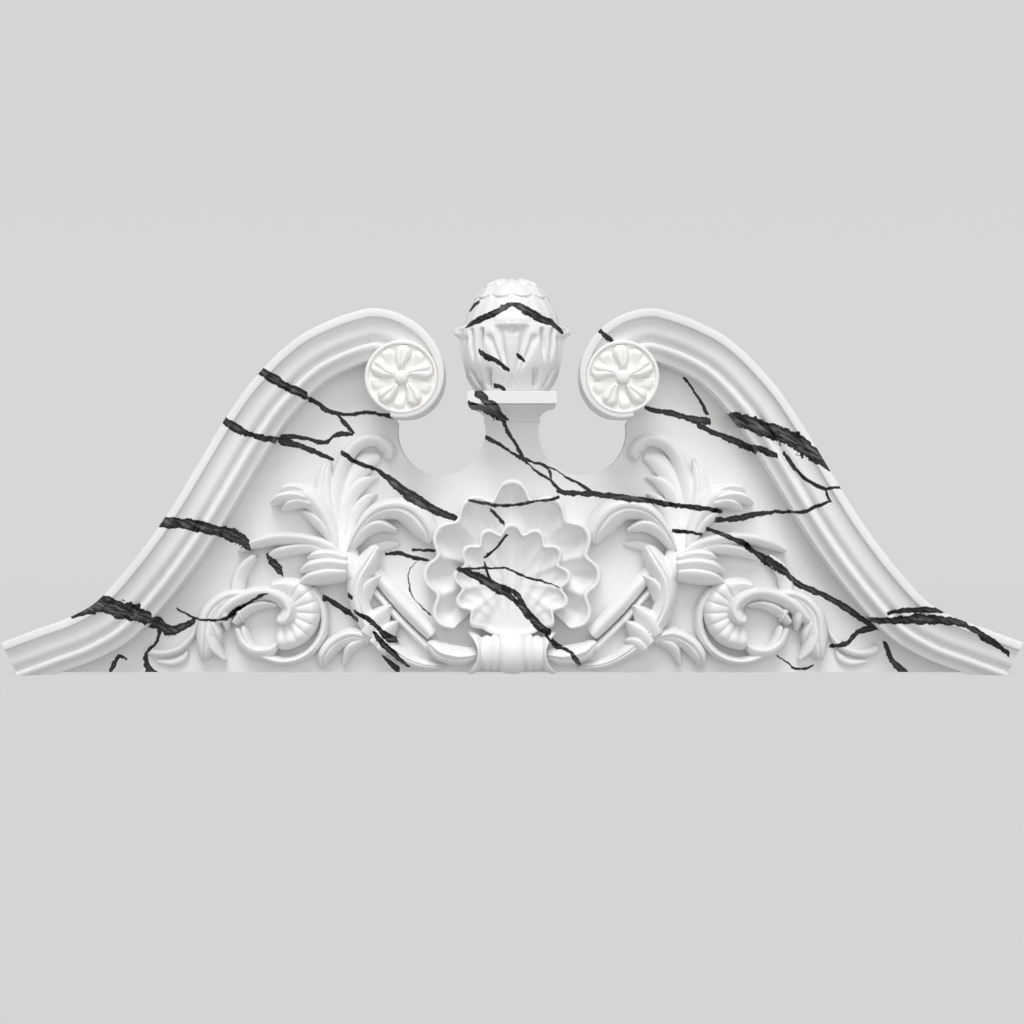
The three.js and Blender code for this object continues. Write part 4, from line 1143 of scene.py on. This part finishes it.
class PedimentCarving(bpy.types.PropertyGroup):
    """How finely the carving is cut."""

    spans: IntProperty(name="Lobe spans", description="Steps along a lobe", default=12, min=4)
    top_steps: IntProperty(name="Lobe back", description="Steps across a lobe's back", default=16, min=4)
    under_steps: IntProperty(
        name="Lobe bed", description="Steps across a lobe's hidden bed", default=3, min=3
    )
    edge: FloatProperty(
        name="Edge", description="Height of a lobe's edge as a share of its crown",
        default=0.45, subtype="FACTOR",
    )
    groove: FloatProperty(
        name="Groove", description="Depth of the lines along a lobe", default=4 * MM, unit="LENGTH"
    )
    crown: FloatProperty(name="Crown", description="How flat a lobe is on top", default=1.8)
    shoulder: FloatProperty(name="Shoulder", description="How steeply a lobe falls to its edges", default=0.7)
    undercut: FloatProperty(
        name="Undercut", description="Width of a lobe's bed as a share of the lobe",
        default=0.82, subtype="FACTOR",
    )
    neck_steps: IntProperty(
        name="Gooseneck steps", description="Steps along the gooseneck", default=120, min=9
    )
    volute_steps: IntProperty(name="Volute steps", description="Steps round the volute", default=80, min=9)
    section_steps: IntProperty(
        name="Moulding steps", description="Steps between stations of the moulding", default=4, min=1
    )
    cut_steps: IntProperty(
        name="Cut-out steps", description="Steps round the cut-out and the cavetto", default=40, min=6
    )
    shell_turns: IntProperty(
        name="Shell turns", description="Steps round a band of the shell", default=234, min=26
    )
    shell_rows: IntProperty(
        name="Shell rows", description="Steps round the section of a band", default=40, min=12
    )
    clasp_turns: IntProperty(name="Clasp turns", description="Steps round the clasp", default=64, min=8)
    rosette_turns: IntProperty(name="Rosette turns", description="Steps round a rosette", default=300, min=28)
    rosette_rows: IntProperty(name="Rosette rows", description="Steps across a rosette", default=64, min=8)
    bud_turns: IntProperty(name="Finial turns", description="Steps round the finial", default=288, min=32)
    bud_rows: IntProperty(name="Finial rows", description="Steps up the finial", default=140, min=20)


class PedimentMarble(bpy.types.PropertyGroup):
    """Colours and finish of the stone."""

    white: FloatVectorProperty(
        name="White", description="Ground colour", subtype="COLOR", default=(0.88, 0.876, 0.868)
    )
    cloud: FloatVectorProperty(
        name="Clouding", description="Faint grey in the ground", subtype="COLOR", default=(0.8, 0.8, 0.8)
    )
    vein: FloatVectorProperty(
        name="Vein", description="Dark of the veins", subtype="COLOR", default=(0.006, 0.006, 0.007)
    )
    streak: FloatVectorProperty(
        name="Streak", description="Grey streaks in the veins", subtype="COLOR", default=(0.13, 0.134, 0.14)
    )
    roughness: FloatProperty(name="Roughness", description="Honed finish", default=0.45, subtype="FACTOR")
    gloss: FloatProperty(
        name="Gloss", description="Strength of the highlights", default=0.4, subtype="FACTOR"
    )


class PedimentStage(bpy.types.PropertyGroup):
    """Studio floor, backdrop and light."""

    grey: FloatProperty(name="Grey", description="Grey of floor and backdrop", default=0.61, subtype="FACTOR")
    bounce: FloatProperty(
        name="Bounce", description="Light that the floor sends back to the work",
        default=0.42, subtype="FACTOR",
    )
    sky: FloatProperty(name="Sky", description="Strength of the light from all round", default=0.3)
    top: FloatProperty(name="Top light", description="Soft light from above and in front", default=1.95)
    top_tilt: FloatProperty(
        name="Top tilt", description="Height of the top light", default=math.radians(57), subtype="ANGLE"
    )
    top_swing: FloatProperty(
        name="Top swing", description="Swing of the top light", default=math.radians(-6), subtype="ANGLE"
    )
    top_spread: FloatProperty(
        name="Top spread", description="Softness of the top light", default=math.radians(34), subtype="ANGLE"
    )
    front: FloatProperty(name="Front light", description="Fill from the camera's side", default=0.95)
    front_tilt: FloatProperty(
        name="Front tilt", description="Height of the fill", default=math.radians(12), subtype="ANGLE"
    )
    front_swing: FloatProperty(
        name="Front swing", description="Swing of the fill", default=math.radians(8), subtype="ANGLE"
    )
    front_spread: FloatProperty(
        name="Front spread", description="Softness of the fill", default=math.radians(50), subtype="ANGLE"
    )


class PEDIMENT_OT_tympanum(bpy.types.Operator):
    """Carve the tympanum slab with its plinth, shell, clasp and foliage"""

    bl_idname = "pediment.tympanum"
    bl_label = "Carve tympanum"

    def execute(self, context):
        scene = context.scene
        limits = (-HALF_SPAN, *SLAB_BORDERS, HALF_SPAN)
        stones = []
        for i, (low, high) in enumerate(zip(limits, limits[1:])):
            near = [vein for vein in SLAB_VEINS if crosses(vein, low, high)]
            stones.append(marble(f"slab_marble_{i}", near, scene.pediment_marble))
        mesh = tympanum_mesh(scene.pediment_carving)
        finish("carved_tympanum", mesh, "tympanum", stones, SLAB_CREASE, SLAB_BORDERS)
        return {"FINISHED"}


class PEDIMENT_OT_cornices(bpy.types.Operator):
    """Run both gooseneck cornices with their volutes"""

    bl_idname = "pediment.cornices"
    bl_label = "Run cornices"

    def execute(self, context):
        scene = context.scene
        for hand, side, veins in (("left", -1, LEFT_VEINS), ("right", 1, RIGHT_VEINS)):
            stone = marble(f"cornice_marble_{hand}", veins, scene.pediment_marble)
            run = cornice(side, scene.pediment_carving)
            bore = drum(EYE_RADIUS + GAP, -CLEAR, CORNICE_OUT + CLEAR, side)
            mesh = combined(f"cornice_{hand}_work", run, (), [bore, below_floor()])
            node = f"cornice_{hand}"
            finish(f"moulded_cornice_{hand}", mesh, node, [stone], CORNICE_CREASE)
        return {"FINISHED"}


class PEDIMENT_OT_rosettes(bpy.types.Operator):
    """Cut the two rosettes"""

    bl_idname = "pediment.rosettes"
    bl_label = "Cut rosettes"

    def execute(self, context):
        scene = context.scene
        stone = marble("white_marble", (), scene.pediment_marble)
        for hand, side in (("left", -1), ("right", 1)):
            mesh = combined(f"rosette_{hand}_work", rosette(side, scene.pediment_carving))
            finish(f"carved_rosette_{hand}", mesh, f"rosette_{hand}", [stone], ROUND_CREASE)
        return {"FINISHED"}


class PEDIMENT_OT_finial(bpy.types.Operator):
    """Carve the acanthus bud"""

    bl_idname = "pediment.finial"
    bl_label = "Carve finial"

    def execute(self, context):
        scene = context.scene
        stone = marble("bud_marble", BUD_VEINS, scene.pediment_marble)
        mesh = combined("finial_work", finial(scene.pediment_carving))
        finish("carved_finial", mesh, "finial", [stone], ROUND_CREASE)
        return {"FINISHED"}


class PEDIMENT_OT_stage(bpy.types.Operator):
    """Set the floor, backdrop, lamps and camera"""

    bl_idname = "pediment.stage"
    bl_label = "Set stage"

    def execute(self, context):
        scene = context.scene
        look = scene.pediment_stage
        floor = studio_sweep()
        floor.data.materials.append(studio_paper(look))
        scene.world = studio_sky(look)
        lamp("top_light", look.top, look.top_tilt, look.top_swing, look.top_spread)
        lamp("front_light", look.front, look.front_tilt, look.front_swing, look.front_spread)
        scene.camera = photo_camera()
        scene.view_settings.view_transform = "Standard"
        return {"FINISHED"}


class PEDIMENT_PT_panel(bpy.types.Panel):
    """Pediment settings and steps in the sidebar"""

    bl_idname = "PEDIMENT_PT_panel"
    bl_label = "Pediment"
    bl_space_type = "VIEW_3D"
    bl_region_type = "UI"
    bl_category = "Pediment"

    def draw(self, context):
        scene = context.scene
        for settings in (scene.pediment_carving, scene.pediment_marble, scene.pediment_stage):
            box = self.layout.box()
            for name in settings.bl_rna.properties.keys():
                if name not in {"rna_type", "name"}:
                    box.prop(settings, name)
        for step in OPERATORS:
            self.layout.operator(step.bl_idname)


SETTINGS = (PedimentCarving, PedimentMarble, PedimentStage)
OPERATORS = (
    PEDIMENT_OT_tympanum, PEDIMENT_OT_cornices, PEDIMENT_OT_rosettes, PEDIMENT_OT_finial, PEDIMENT_OT_stage,
)


def register():
    for cls in (*SETTINGS, *OPERATORS, PEDIMENT_PT_panel):
        bpy.utils.register_class(cls)
    bpy.types.Scene.pediment_carving = PointerProperty(type=PedimentCarving)
    bpy.types.Scene.pediment_marble = PointerProperty(type=PedimentMarble)
    bpy.types.Scene.pediment_stage = PointerProperty(type=PedimentStage)


def unregister():
    del bpy.types.Scene.pediment_stage
    del bpy.types.Scene.pediment_marble
    del bpy.types.Scene.pediment_carving
    for cls in reversed((*SETTINGS, *OPERATORS, PEDIMENT_PT_panel)):
        bpy.utils.unregister_class(cls)


def main():
    """Builds every piece and the stage."""
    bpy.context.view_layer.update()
    register()
    bpy.ops.pediment.tympanum()
    bpy.ops.pediment.cornices()
    bpy.ops.pediment.rosettes()
    bpy.ops.pediment.finial()
    bpy.ops.pediment.stage()


if __name__ == "__main__":
    main()
